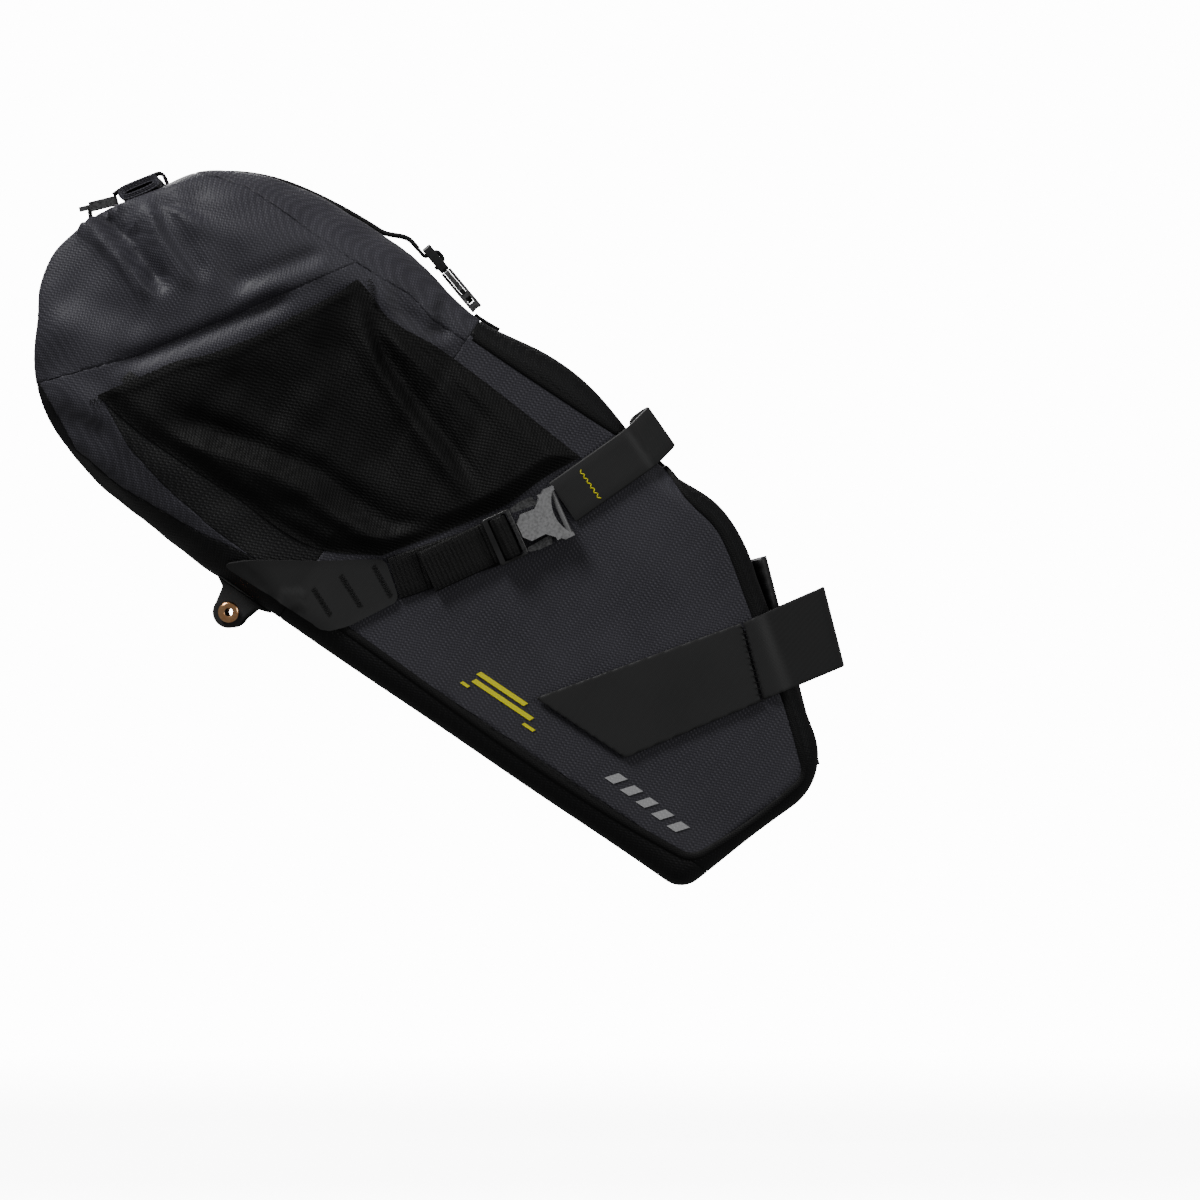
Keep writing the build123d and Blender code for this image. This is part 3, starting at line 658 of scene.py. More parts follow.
def fold_heights(points, normals):
    """How far each point of the skin stands off its plain shape."""
    height = 0.25 * soft_noise(points, 70, 3)
    soft = smoothstep(200, 250, points[:, 0])
    height += soft * (0.9 * soft_noise(points, 60, 5) + 0.45 * soft_noise(points, 26, 6))
    facing = smoothstep(0.1, 0.5, np.abs(normals[:, 2]))
    for k, (path, width, depth, lip) in enumerate(SIDE_FOLDS):
        strength = np.where(points[:, 2] < 0, 1.0, 0.75 + 0.1 * (k % 4))
        height += facing * strength * crease(points, path, width, depth, lip)
    for side in (RIGHT, LEFT):
        corner = np.array((*(ROLL_START + ROLL_WAY * 8)[:2], side * (ROLL_HALF - 4)))
        off = points - corner
        away = np.linalg.norm(off, axis=1)
        spin = np.arctan2(off[:, 1], off[:, 0]) + 0.35 * off[:, 2] / (away + 8)
        pleats = np.sin(9 * spin + 0.6 * side) + 0.5 * np.sin(17 * spin + 1.3)
        height += 0.8 * pleats * np.exp(-(((away - 20) / 20) ** 2)) * smoothstep(4, 14, away)
    off = points - np.array(ROLL_START[:])
    below = off @ np.array(ROLL_WAY[:]) - ROLL_L
    standoff = np.abs(off @ np.array(ROLL_OUT[:]))
    hang = smoothstep(0, 10, below) * np.exp(-np.maximum(below, 0) / 34) * np.exp(-standoff / 40)
    middle = np.exp(-((points[:, 2] / 55) ** 2))
    ripple = np.cos(points[:, 2] / 6.4 + 0.9 * np.sin(points[:, 1] / 19)) * middle
    height += 1.3 * hang * ripple
    quiet = smoothstep(16, 24, np.abs(points[:, 2])) + smoothstep(-30, -60, points[:, 1])
    crown = (points[:, 1] > 0) & (points[:, 0] > 200) & (points[:, 0] < 362)
    return np.where(crown, height * np.clip(quiet, 0, 1), height)


skin = skin_grid()
skin_out = grid_normals(skin)
flat_skin = skin.reshape(-1, 3)
flat_out = skin_out.reshape(-1, 3)
raise_by = fold_heights(flat_skin, flat_out).reshape(skin.shape[:2])
skin = skin + skin_out * np.clip(raise_by, -FOLD_DEEPEST, FOLD_HIGHEST)[:, :, None]

skin_form = loft([[tuple(p) for p in ring] for ring in skin], closed=True, capped=True)
skin_tree = BVHTree.FromBMesh(skin_form)

CROWN_SEAM = [(190, 27), (223, 26), (237, 30), (251, 29), (278, 28), (306, 29), (327, 29), (342, 25)]
CROWN_SEAM.append((366, 14))
COLLAR_SEAM = [(258, 44), (266, 29), (274, 16), (298, -22), (325, -63), (348, -89), (380, -126)]
UNDER_SEAM = [(190, -110), (233, -110), (256, -114), (300, -117), (325, -114), (356, -98)]
# edge of the strip of painted shade along the wing's foot, cut and pressed in like a seam
SHADE_STRIP_SEAM = [(190, -110), (250, -109.4), (282, -105.5), (305, -100), (324, -90)]
BOOT_SEAM = [(BOOT_END, -140), (BOOT_END, 60)]
SIDE_PANEL = [
    (250, -113),
    (-14, -113),
    (-36.5, -51),
    (47.6, 12.9),
    (62, 21.5),
    (81, 24),
    (98, 30),
    (250, 30),
]
SIDE_SEAM = rounded(SIDE_PANEL, 9)
BASE_SEAM = [(-40, -113), (210, -113)]
GUSSET_SEAM = [(92, -20), (92, 60)]


def above(points, path):
    """True where a point lies over a path that runs backwards in u."""
    us, vs = zip(*path)
    return points[:, 1] > np.interp(points[:, 0], us, vs)


def panel_of(points):
    """The name of the panel that each point of the skin belongs to."""
    u, v, y = points.T
    side = np.where(y < 0, "right", "left")
    names = np.where(u < 92, "nose_gusset", "boot_top_panel").astype(object)
    names[v < -113] = "boot_base"
    inside = within(points[:, :2], SIDE_SEAM) & (np.abs(y) > 20)
    names[inside] = ["boot_side_" + s for s in side[inside]]
    sleeve = u > BOOT_END
    names[sleeve] = ["sleeve_side_" + s for s in side[sleeve]]
    names[sleeve & ~above(points, UNDER_SEAM) & (u < 356)] = "sleeve_underside"
    # a strip of the sleeve's side along the wing's foot gets its own panel, coloured darker as painted shade
    strip = sleeve & above(points, SHADE_STRIP_SEAM) & (v < -70) & (u < 324)
    names[strip] = ["sleeve_strip_" + s for s in side[strip]]
    seam_v = np.array([p[1] for p in COLLAR_SEAM])[::-1]
    seam_u = np.array([p[0] for p in COLLAR_SEAM])[::-1]
    names[sleeve & (u > np.interp(v, seam_v, seam_u))] = "roll_collar"
    names[sleeve & above(points, CROWN_SEAM) & (u < 366)] = "crown_panel"
    return names


def beside(path, shift):
    """A path moved sideways in (u, v)."""
    path = np.array(path, float)
    along = np.gradient(path, axis=0)
    along /= np.linalg.norm(along, axis=1, keepdims=True)
    return (path + shift * np.column_stack((-along[:, 1], along[:, 0]))).tolist()


def on_boot_side(centres):
    return (np.abs(centres[:, 2]) > 16) & (centres[:, 0] < BOOT_END + 4)


SEAM_HALF = 1.1
for shift in (0, SEAM_HALF, -SEAM_HALF):
    for seam in (CROWN_SEAM, COLLAR_SEAM, UNDER_SEAM, SHADE_STRIP_SEAM, BOOT_SEAM):
        score(skin_form, beside(seam, shift))
for seam in (BASE_SEAM, GUSSET_SEAM):
    score(skin_form, seam)
score(skin_form, [*SIDE_SEAM, SIDE_SEAM[0]], only=on_boot_side)
bmesh.ops.recalc_face_normals(skin_form, faces=skin_form.faces)

PANELS = {
    "boot_base": (BLACK_LAMINATE, ("base_panel",), 0.0),
    "boot_side_right": (LAMINATE, ("boot_side_right",), 0.0),
    "boot_side_left": (LAMINATE, ("boot_side_left",), 0.0),
    "boot_top_panel": (BLACK_LAMINATE, ("boot_top_panel",), 0.0),
    "nose_gusset": (BLACK_LAMINATE, ("nose_panel",), 0.0),
    "crown_panel": (LAMINATE, ("sleeve_top_panel",), 0.25),
    "roll_collar": (LAMINATE, ("roll_collar",), 0.1),
    "sleeve_side_right": (LAMINATE, ("sleeve_side_right",), -0.1),
    "sleeve_side_left": (LAMINATE, ("sleeve_side_left",), -0.1),
    # painted shade: the strips along the wings' feet are sleeve side cloth in a darker colour that stands for
    # shade
    "sleeve_strip_right": (SHADE_PAINTED_LAMINATE, (), -0.1),
    "sleeve_strip_left": (SHADE_PAINTED_LAMINATE, (), -0.1),
    "sleeve_underside": (BLACK_LAMINATE, ("sleeve_underside",), -0.1),
}
SKIN_T = 0.9
SEAM_PRESS = 0.4


def in_mouth(points):
    """True for points of the skin inside the mouth under the roll."""
    off = points - np.array(ROLL_START[:])
    along = off @ np.array(ROLL_WAY[:]) - ROLL_L / 2
    reach = np.maximum(np.abs(points[:, 2]) - (MOUTH_HALF - MOUTH_L / 2), 0)
    return (np.hypot(along, reach) < MOUTH_L / 2) & (np.abs(off @ np.array(ROLL_OUT[:])) < 8)


def thickened(form, thickness):
    """A sheet given an inner face the same distance in from its outer face everywhere."""
    form.normal_update()
    form.verts.index_update()
    count = len(form.verts)
    outer = [v.co.copy() for v in form.verts]
    inner = [v.co - v.normal * thickness for v in form.verts]
    faces = [[v.index for v in f.verts] for f in form.faces]
    faces += [[count + k for k in reversed(face)] for face in faces]
    for edge in form.edges:
        if edge.is_boundary:
            corner = edge.link_loops[0]
            a, b = corner.vert.index, corner.link_loop_next.vert.index
            faces.append([b, a, count + a, count + b])
    return form_of(outer + inner, faces)


def skin_panels():
    """Cut the skin into its sewn panels and its strips of painted shade, each a sheet with its edges pressed
    in at the seams.
    """
    skin_form.faces.ensure_lookup_table()
    skin_form.verts.ensure_lookup_table()
    centres = np.array([f.calc_center_median()[:] for f in skin_form.faces])
    names = panel_of(centres)
    open_mouth = in_mouth(centres)
    for name, (material, stands_for, lift) in PANELS.items():
        chosen = [skin_form.faces[k] for k in np.flatnonzero((names == name) & ~open_mouth)]
        used = {}
        for face in chosen:
            for vertex in face.verts:
                used.setdefault(vertex.index, len(used))
        points = [skin_form.verts[k].co for k in used]
        form = form_of(points, [[used[v.index] for v in f.verts] for f in chosen])
        form.normal_update()
        moved = {}
        for vertex in form.verts:
            press = SEAM_PRESS if vertex.is_boundary else 0
            moved[vertex] = vertex.co + vertex.normal * (lift - press)
        for vertex, place in moved.items():
            vertex.co = place
        form = thickened(form, SKIN_T)
        piece(name, form, material, stands_for=stands_for)


skin_panels()


def on_skin(u, v, side, lift=0.0):
    """The skin's outermost point over (u, v) on one side, moved out by lift."""
    place, normal, _, _ = skin_tree.ray_cast(Vector((u, v, side * 300)), Vector((0, 0, -side)))
    if place is None:
        return None
    if normal.z * side < 0:
        normal = -normal
    return place + normal * lift


# ---- sheets sewn on the sides ------------------------------------------------------------------


def cutout(outline, cell=1.6):
    """A flat net of faces inside a closed outline in (u, v)."""
    low, high = np.min(outline, axis=0) - cell, np.max(outline, axis=0) + cell
    us = np.arange(low[0], high[0], cell)
    vs = np.arange(low[1], high[1], cell)
    form = loft([[(u, v, 0) for u in us] for v in vs], closed=False, capped=False)
    score(form, [*outline, outline[0]], near=3 * cell)
    centres = np.array([f.calc_center_median()[:2] for f in form.faces])
    outside = np.flatnonzero(~within(centres, outline))
    form.faces.ensure_lookup_table()
    bmesh.ops.delete(form, geom=[form.faces[k] for k in outside], context="FACES")
    return form


def laid_on_skin(form, side, lift, thickness, heights=None):
    """Drape a flat net over one side of the skin and give it thickness."""
    points = np.array([v.co[:] for v in form.verts])
    extra = heights(points) if heights else np.zeros(len(points))
    for vertex, more in zip(form.verts, extra):
        place = on_skin(vertex.co.x, vertex.co.y, side, lift + more)
        if place:
            vertex.co = place
    bmesh.ops.recalc_face_normals(form, faces=form.faces)
    form.normal_update()
    if sum(f.normal.z for f in form.faces) * side < 0:
        bmesh.ops.reverse_faces(form, faces=form.faces)
    return thickened(form, thickness)


def curve_through(points, count):
    """Evenly spaced points on a smooth curve through a few points."""
    points = np.array(points, float)
    knots = np.concatenate(([0], np.cumsum(np.linalg.norm(np.diff(points, axis=0), axis=1))))
    slopes = np.gradient(points, knots, axis=0)
    drawn = []
    for t in np.linspace(0, knots[-1], count):
        k = min(np.searchsorted(knots, t, side="right") - 1, len(points) - 2)
        h = knots[k + 1] - knots[k]
        s = (t - knots[k]) / h
        start = points[k] * (2 * s**3 - 3 * s**2 + 1) + slopes[k] * h * (s**3 - 2 * s**2 + s)
        drawn.append(start + points[k + 1] * (3 * s**2 - 2 * s**3) + slopes[k + 1] * h * (s**3 - s**2))
    return np.array(drawn)


WING_REAR = (330, -88)
WING_TOP = (261.5, 22)
WING_OPEN_EDGE = [WING_REAR, (310, -58), (291, -33), (273, 0), (265, 16), WING_TOP]
WING_FOOT = [WING_REAR, (300, -91), (255, -91), (206, -89), (182, -76)]
WING_FRONT = [(182, -76), (156, -38), (148, -25), (140, -4), (132, 12)]
WING_CROWN = [WING_TOP, (256, 21), (242, 16), (212, 17), (188, 16), (132, 12)]
WING_LIFT = 0.5
WING_T = 0.55
WING_PUFF = 4.0
WING_GAPE = 6.0
# folds in the wing: path, width, depth and lip
WING_FOLDS = [
    ([(306, -82), (282, -72), (258, -66), (228, -61), (200, -61), (176, -60)], 6.5, 5.0, 4.6),
    ([(254, 20), (244, 10), (231, 0), (209, -9), (184, -17), (158, -27)], 4.6, 4.2, 4.4),
    ([(262, 14), (252, -10), (236, -28), (212, -40), (186, -44)], 10.0, 1.8, 1.6),
    ([(292, -44), (262, -48), (232, -48), (204, -50)], 10.0, 1.4, 1.4),
    ([(244, 15), (222, 12), (200, 8), (172, -2)], 3.6, 1.8, 1.4),
    ([(246, -86), (226, -80), (206, -78), (190, -73)], 5.0, 1.6, 1.2),
    ([(232, -70), (210, -68), (186, -62), (164, -46)], 5.0, 2.4, 2.0),
]


def wing(name, side):
    """The pocket wing: ripstop sewn down along its foot, front and crown, and open along its rear edge."""
    rows, columns = 120, 150
    foot, crown = curve_through(WING_FOOT, columns), curve_through(WING_CROWN, columns)
    rear, front = curve_through(WING_OPEN_EDGE, rows), curve_through(WING_FRONT, rows)
    rings = []
    for row, t in enumerate(np.linspace(0, 1, rows)):
        s = np.linspace(0, 1, columns)[:, None]
        sides = rear[row] * (1 - s) + front[row] * s
        ends = foot * (1 - t) + crown * t
        corners = (foot[0] * (1 - s) + foot[-1] * s) * (1 - t) + (crown[0] * (1 - s) + crown[-1] * s) * t
        rings.append([(u, v, 0) for u, v in sides + ends - corners])
    form = loft(rings, closed=False, capped=False)

    def heights(points):
        rise = np.zeros(len(points))
        for k, (path, width, depth, lip) in enumerate(WING_FOLDS):
            rise += (1.0 if side == RIGHT else 0.8) * crease(points, path, width, depth, lip, 0.25)
        rise += 0.5 * soft_noise(points, 34, 11 + side) + 0.2 * soft_noise(points, 14, 15 + side)
        open_away, _, open_along = to_path(points[:, :2], WING_OPEN_EDGE)
        gape = np.exp(-((open_away / 20) ** 2)) * np.sin(math.pi * np.clip(open_along, 0, 1)) ** 0.8
        sewn = to_path(points[:, :2], [*WING_FOOT, *WING_FRONT[1:], *WING_CROWN[::-1][1:]])[0]
        held = smoothstep(0, 9, sewn)
        hem = 0.5 * np.exp(-(((open_away - 2.2) / 2.0) ** 2))
        return np.maximum(rise + WING_PUFF, 0.2) * held + WING_GAPE * gape + hem

    sheet = laid_on_skin(form, side, WING_LIFT, WING_T, heights)
    piece(name, sheet, RIPSTOP, stands_for=(name,))


for label, side in SIDES:
    wing("wing_" + label, side)

PATCH = [(240, -119), (232, -112), (203, -93), (180, -76.5), (164, -88.5), (177, -112), (184, -119)]
PATCH_SLIT = [(232, -115), (220, -117), (207, -121)]
PATCH_LIFT = 1.9
PATCH_T = 1.2
PATCH_TAB = [(212, -115), (203, -109), (198, -116), (207, -121)]
PATCH_TACKS = [((200, -106), (186, -112)), ((193, -94), (177, -101)), ((183, -82), (168, -89.5))]


def patch_heights(points):
    """Relief of the moulded patch: a pressed tab, a slit and a thin lip at its edge."""
    rim = to_path(points[:, :2], [*PATCH, PATCH[0]])[0]
    slit = to_path(points[:, :2], PATCH_SLIT)[0]
    tab = np.where(within(points[:, :2], PATCH_TAB), 0.8, 0)
    return 0.15 * np.exp(-((rim / 1.2) ** 2)) - 0.5 * np.exp(-((slit / 0.9) ** 2)) + tab


for label, side in SIDES:
    patch_form = laid_on_skin(cutout(rounded(PATCH, 4)), side, PATCH_LIFT, PATCH_T, patch_heights)
    name = "strap_patch_" + label
    piece(name, patch_form, COATED_STRAP, stands_for=(name,))


def band(points, across, width, thickness, rib=0.0, pitch=1.7, step=0.8):
    """A strap along a line, with rounded edges and ribs across it."""
    points = np.array([tuple(p) for p in points], float)
    steps = np.concatenate(([0], np.cumsum(np.linalg.norm(np.diff(points, axis=0), axis=1))))
    places = np.linspace(0, steps[-1], max(3, int(steps[-1] / step)))
    line = np.column_stack([np.interp(places, steps, points[:, k]) for k in range(3)])
    across = np.array(across, float)
    tangents = np.gradient(line, axis=0)
    normals = np.cross(tangents, across)
    normals /= np.linalg.norm(normals, axis=1, keepdims=True)
    half, edge = width / 2, thickness / 2
    section = []
    for sign in (1, -1):
        for turn in np.linspace(math.pi / 2, -math.pi / 2, 6):
            section.append((sign * (half - edge + edge * math.cos(turn)), sign * edge * math.sin(turn)))
        for share in (0.6, 0.2, -0.2, -0.6):
            section.append((sign * share * (half - edge), -sign * edge))
    rings = []
    for place, centre, normal in zip(places, line, normals):
        swell = 1 + rib * (0.5 + 0.5 * math.cos(2 * math.pi * place / pitch)) / edge
        rings.append([centre + across * a + normal * b * swell for a, b in section])
    return loft(rings)


def bent(points, radius):
    """An open line with its corners rounded."""
    line = [tuple(points[0])]
    for before, here, after in zip(points[:-2], points[1:-1], points[2:]):
        before, here, after = Vector(before), Vector(here), Vector(after)
        reach = min(radius, (before - here).length / 2.1, (after - here).length / 2.1)
        start = here + (before - here).normalized() * reach
        end = here + (after - here).normalized() * reach
        for n in range(7):
            t = n / 6
            line.append(tuple(start * (1 - t) ** 2 + here * 2 * t * (1 - t) + end * t * t))
    return [*line, tuple(points[-1])]


def strap_in(frame_at, line, width, thickness, **ribs):
    """A strap whose line is given as (x, z) in a local frame, its width along the frame's y."""
    points = [frame_at @ Vector((x, 0, z)) for x, z in line]
    return band(points, frame_at.col[1][:3], width, thickness, **ribs)


# ---- binding over the boot's side seams --------------------------------------------------------

for label, side in SIDES:
    run = [p for p in [*SIDE_SEAM, SIDE_SEAM[0]] if p[0] < 200]
    run = run[::-1] if run[0][1] > 0 else run
    line = curve_through([(203, -113), *run, (203, 30)], 420)
    rings = []
    places = [on_skin(u, v, side, 0.35) for u, v in line]
    places = [p for p in places if p]
    for before, here, after in zip([places[0], *places[:-1]], places, [*places[1:], places[-1]]):
        tangent = (after - before).normalized()
        out = Vector((0, 0, side))
        across = tangent.cross(out).normalized()
        out = across.cross(tangent) * (1 if across.cross(tangent).z * side > 0 else -1)
        ring = []
        for turn in np.linspace(0, 2 * math.pi, 12, endpoint=False):
            ring.append(here + across * 1.7 * math.cos(turn) + out * 0.8 * math.sin(turn))
        rings.append(ring)
    name = "edge_binding_" + label
    piece(name, loft(rings), BINDING, stands_for=(name,))

# ---- side compression straps -------------------------------------------------------------------

SIDE_BUCKLE = strap_frame((134.1, -26.6), (128.9, -18.1), 5.9)
SIDE_WEB = strap_frame((172.0, -82.2), (143.5, -44.3), 0.2)
LADDER = [(-52, -3.3), (-16.9, -3.3), (-15.2, 3.1), (-10.6, 3.1), (-9.4, -3.0)]
RAIL_RUN = strap_frame((128.3, -12.2), (108.8, 39.3))
RAIL_R = 3.5
BEND = (46.0, 1.7)
LOOP_R = RAIL_R + STRAP_T / 2
rail = RAIL_RUN.inverted() @ Vector((108.8, 39.3, -27))
rail_away = math.hypot(rail.x - BEND[0], rail.z - BEND[1])
rail_turn = math.atan2(rail.z - BEND[1], rail.x - BEND[0]) + math.asin(LOOP_R / rail_away)
LOOP_END = math.radians(-165)
loop_line = []
for turn in np.linspace(rail_turn + math.pi / 2, LOOP_END, 28):
    loop_line.append((rail.x + LOOP_R * math.cos(turn), rail.z + LOOP_R * math.sin(turn)))
loop_tail = (loop_line[-1][0] + 6 * math.sin(LOOP_END), loop_line[-1][1] - 6 * math.cos(LOOP_END))
SIDE_WEB_W = 20
RAIL_STRAP_W = 22
TAIL_LINE = [(-52, -1.9), (-30, -2.2), *LADDER[1:]]
DEEP_RIBS = {"pitch": 2.1, "step": 0.35}
RAIL_LINE = [(2.6, 1.7), *bent([(10, 1.7), BEND, loop_line[0]], 4), *loop_line[1:], loop_tail]


def stitches(places, outs, thick=0.42):
    """Separate stitches of thread along a line, each a small flattened bead."""
    forms = []
    for (start, end), out in zip(places, outs):
        start, end, out = Vector(start), Vector(end), Vector(out).normalized()
        form = bmesh.new()
        bmesh.ops.create_uvsphere(form, u_segments=8, v_segments=6, radius=0.5)
        turn = plane_matrix((start + end) / 2, end - start, out)
        stretch = Matrix.Diagonal(((end - start).length * 1.08, thick, thick * 0.9, 1))
        bmesh.ops.transform(form, matrix=turn @ stretch, verts=form.verts)
        forms.append(form)
    return joined(forms)


def bar_tack(start, end, side, lift, width=2.4, pitch=0.85):
    """A dense zigzag of stitches on one side of the bag, from start to end in (u, v)."""
    (u0, v0), (u1, v1) = start, end
    length = math.hypot(u1 - u0, v1 - v0)
    du, dv = (u1 - u0) / length, (v1 - v0) / length
    count = int(length / pitch)
    ends, outs = [], []
    for k in range(count):
        a, b = k * pitch, (k + 1) * pitch
        swing = width / 2 if k % 2 else -width / 2
        p = on_skin(u0 + du * a - dv * swing, v0 + dv * a + du * swing, side, lift)
        q = on_skin(u0 + du * b + dv * swing, v0 + dv * b - du * swing, side, lift)
        if p and q:
            ends.append((p, q))
            outs.append((0, 0, side))
    return stitches(ends, outs)


def zigzag_in(frame_at, x, lift, half, pitch, swing):
    """Zigzag stitches across a strap, in the strap's local frame."""
    count = int(2 * half / pitch)
    ends = []
    for k in range(count):
        y0, y1 = -half + k * pitch, -half + (k + 1) * pitch
        sign = 1 if k % 2 else -1
        start = frame_at @ Vector((x - sign * swing, y0, lift))
        ends.append((start, frame_at @ Vector((x + sign * swing, y1, lift))))
    return stitches(ends, [frame_at.col[2][:3]] * count, thick=0.6)


for label, side in SIDES:
    web = strap_in(SIDE_WEB, [(0.6, 0.95), (58, 0.95)], SIDE_WEB_W, WEB_T, rib=0.5, **DEEP_RIBS)
    name = "side_webbing_" + label
    piece(name, web, WEBBING, stands_for=(name,), side=side)
    tail = strap_in(SIDE_BUCKLE, bent(TAIL_LINE, 1.6), SIDE_WEB_W, WEB_T, rib=0.45, **DEEP_RIBS)
    name = "side_webbing_tail_" + label
    piece(name, tail, WEBBING, body="male_" + label, stands_for=(name,), side=side)
    name = "rail_strap_" + label
    strap = strap_in(RAIL_RUN, RAIL_LINE, RAIL_STRAP_W, STRAP_T)
    piece(name, strap, COATED_STRAP, stands_for=(name,), side=side)
    yellow = zigzag_in(RAIL_RUN, 17.5, 1.7 + STRAP_T / 2 + 0.1, 8.6, 1.35, 0.7)
    piece("yellow_zigzag_" + label, yellow, YELLOW_THREAD, side=side)
    tacks = [bar_tack(a, b, side, 2.2, 2.6) for a, b in PATCH_TACKS]
    tacks.append(bar_tack((324, -85), (331, -93), side, 1.6, 3.0))
    tacks.append(bar_tack((257, 25), (249, 17), side, 1.8, 3.0))
    piece("bar_tacks_" + label, joined(tacks), THREAD)

# ---- straps over the top -----------------------------------------------------------------------

TOP_BUCKLE = plane_matrix((226, 46.9, 0), (-0.96, -0.28, 0), (-0.28, 0.96, 0))


def over_crown(u, lift):
    """A point above the middle of the bag's top."""
    place = skin_tree.ray_cast(Vector((u, 300, 0)), Vector((0, -1, 0)))[0]
    return place + Vector((0, lift, 0))


def behind_bag(v, lift):
    """A point behind the middle of the bag's rear face."""
    place = skin_tree.ray_cast(Vector((600, v, 0)), Vector((-1, 0, 0)))[0]
    return place + Vector((lift, 0, 0))


TOP_WEB = 20
REAR_WEB = 18
top_line = [TOP_BUCKLE @ Vector((x, 0, z)) for x, z in ((-22, -3.2), (-27, -3.4))]
top_line += [over_crown(u, 1.35) for u in np.linspace(266, 357, 32)]
top_strap = piece(
    "top_strap",
    band(curve_through([tuple(p) for p in top_line], 200), (0, 0, 1), TOP_WEB, 2.0, rib=0.12),
    WEBBING,
    body=None,
    stands_for=("top_strap",),
)
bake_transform(top_strap)
anchor_line = [over_crown(u, 1.3) for u in np.linspace(196, 209, 8)]
piece(
    "top_anchor_webbing",
    band(anchor_line, (0, 0, 1), TOP_WEB, WEB_T, rib=0.12),
    WEBBING,
    stands_for=("top_anchor_webbing",),
)
top_loop = strap_in(TOP_BUCKLE, bent([(-27, -3.3), *LADDER[1:]], 1.6), TOP_WEB, WEB_T, rib=0.12, step=0.5)
piece(
    "top_webbing_loop",
    top_loop,
    WEBBING,
    body="top_male",
    stands_for=("top_webbing_loop",),
)
rear_line = [behind_bag(v, 1.5) for v in np.linspace(-25.5, -42, 12)]
piece(
    "rear_anchor_webbing",
    band(rear_line, (0, 0, 1), REAR_WEB, WEB_T, rib=0.12),
    WEBBING,
    stands_for=("rear_anchor_webbing",),
)

# ---- rolled mouth ------------------------------------------------------------------------------

ROLL = plane_matrix(ROLL_START, ROLL_WAY, ROLL_OUT)
ROLL_MID = ROLL_LIFT + ROLL_T / 2
LAYERS = 3


def roll_section():
    """The rolled mouth's end view: a flat spiral of cloth, as a closed outline in (x, z)."""
    centre, turns = [], LAYERS + 0.4
    for turn in np.linspace(0, turns * 2 * math.pi, 150):
        grow = 0.28 + 0.72 * turn / (turns * 2 * math.pi)
        reach_x = (ROLL_L / 2 - 0.45) * (0.55 + 0.45 * grow)
        reach_z = (ROLL_T / 2 - 0.4) * grow
        power = 0.62
        x = reach_x * math.copysign(abs(math.cos(turn)) ** power, math.cos(turn))
        z = reach_z * math.copysign(abs(math.sin(turn)) ** power, math.sin(turn))
        centre.append(Vector((ROLL_L / 2 + x, ROLL_MID + z)))
    inner, outer = [], []
    for k, here in enumerate(centre):
        before, after = centre[max(k - 1, 0)], centre[min(k + 1, len(centre) - 1)]
        along = (after - before).normalized()
        out = Vector((along.y, -along.x))
        inner.append(here - out * 0.5)
        outer.append(here + out * 0.5)
    return outer + inner[::-1]


def rolled_mouth():
    """The mouth rolled up three times, slack and a little uneven along its width."""
    section = roll_section()
    rings = []
    for y in np.linspace(-ROLL_HALF, ROLL_HALF, 90):
        ring = []
        for x, z in section:
            sag = 0.25 * math.sin(y / 9 + x / 5) + 0.2 * math.sin(y / 4.3 + z)
            squeeze = 1 - 0.06 * math.exp(-((y / 11) ** 2))
            ring.append(ROLL @ Vector((x + 0.3 * sag, y, ROLL_MID + (z - ROLL_MID) * squeeze + 0.35 * sag)))
        rings.append(ring)
    return loft(rings)


def roll_neck():
    """The cloth between the bag's mouth and its roll, pinched together where the rolling begins."""
    rings = []
    for t in np.linspace(0, 1, 10):
        wide = MOUTH_L / 2 + 1.2 - (MOUTH_L / 2 - 1.8) * smoothstep(0, 0.8, t)
        half = MOUTH_HALF - 1 + (ROLL_HALF - 3 - MOUTH_HALF) * t
        high = -2.6 + (ROLL_LIFT + 4.6) * t
        ring = []
        for turn in np.linspace(0, 2 * math.pi, 160, endpoint=False):
            across, out = math.sin(turn), math.cos(turn)
            y = half * math.copysign(abs(across) ** 0.8, across)
            slack = 0.5 * math.sin(y / 3.7 + 2 * math.copysign(1, out)) * math.sin(math.pi * t)
            ring.append(ROLL @ Vector((ROLL_L / 2 + out * abs(out) ** -0.4 * wide + slack, y, high)))
        rings.append(ring)
    return loft(rings)


neck = piece("roll_neck", roll_neck(), LAMINATE, body=None)
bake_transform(neck)
piece(
    "rolled_mouth",
    rolled_mouth(),
    LAMINATE,
    body="roll",
    stands_for=("rolled_mouth", "hem_stiffener"),
)
over_roll = ROLL_LIFT + ROLL_T + 0.5 + WEB_T / 2
end_line = bent([(-1.0, 2.6), (-1.0, over_roll), (18, over_roll), (24, over_roll - 1.4)], 3)
piece(
    "top_strap_end",
    strap_in(ROLL, end_line, TOP_WEB, WEB_T, rib=0.12),
    WEBBING,
    body="roll",
    stands_for=("top_strap_end",),
)

ADJUSTER = (29.6, 5.6)
link_start = ROLL @ Vector((ADJUSTER[0] + 3.5, 0, ADJUSTER[1] + 1.2))
link_end = behind_bag(-24, 2.2)
link_middle = (link_start + link_end) / 2 + Vector((2.5, 1.5, 0))
link_line = curve_through([tuple(p) for p in (link_start, link_middle, link_end)], 30)
link = band(link_line, (0, 0, 1), REAR_WEB, WEB_T, rib=0.12)
piece("rear_link_webbing", link, WEBBING, body="roll")

# ---- seatpost strap, flap and pad --------------------------------------------------------------

POST_UP = TO_BAG.to_3x3() @ Vector((-math.sin(POST_TILT), 0, math.cos(POST_TILT)))
POST_BACK = TO_BAG.to_3x3() @ Vector((-math.cos(POST_TILT), 0, -math.sin(POST_TILT)))
POST = plane_matrix((0, 0, 0), POST_BACK, POST_UP)
PAD_LOW, PAD_HIGH, PAD_HALF_ANGLE = -57.0, 42.0, math.radians(58)

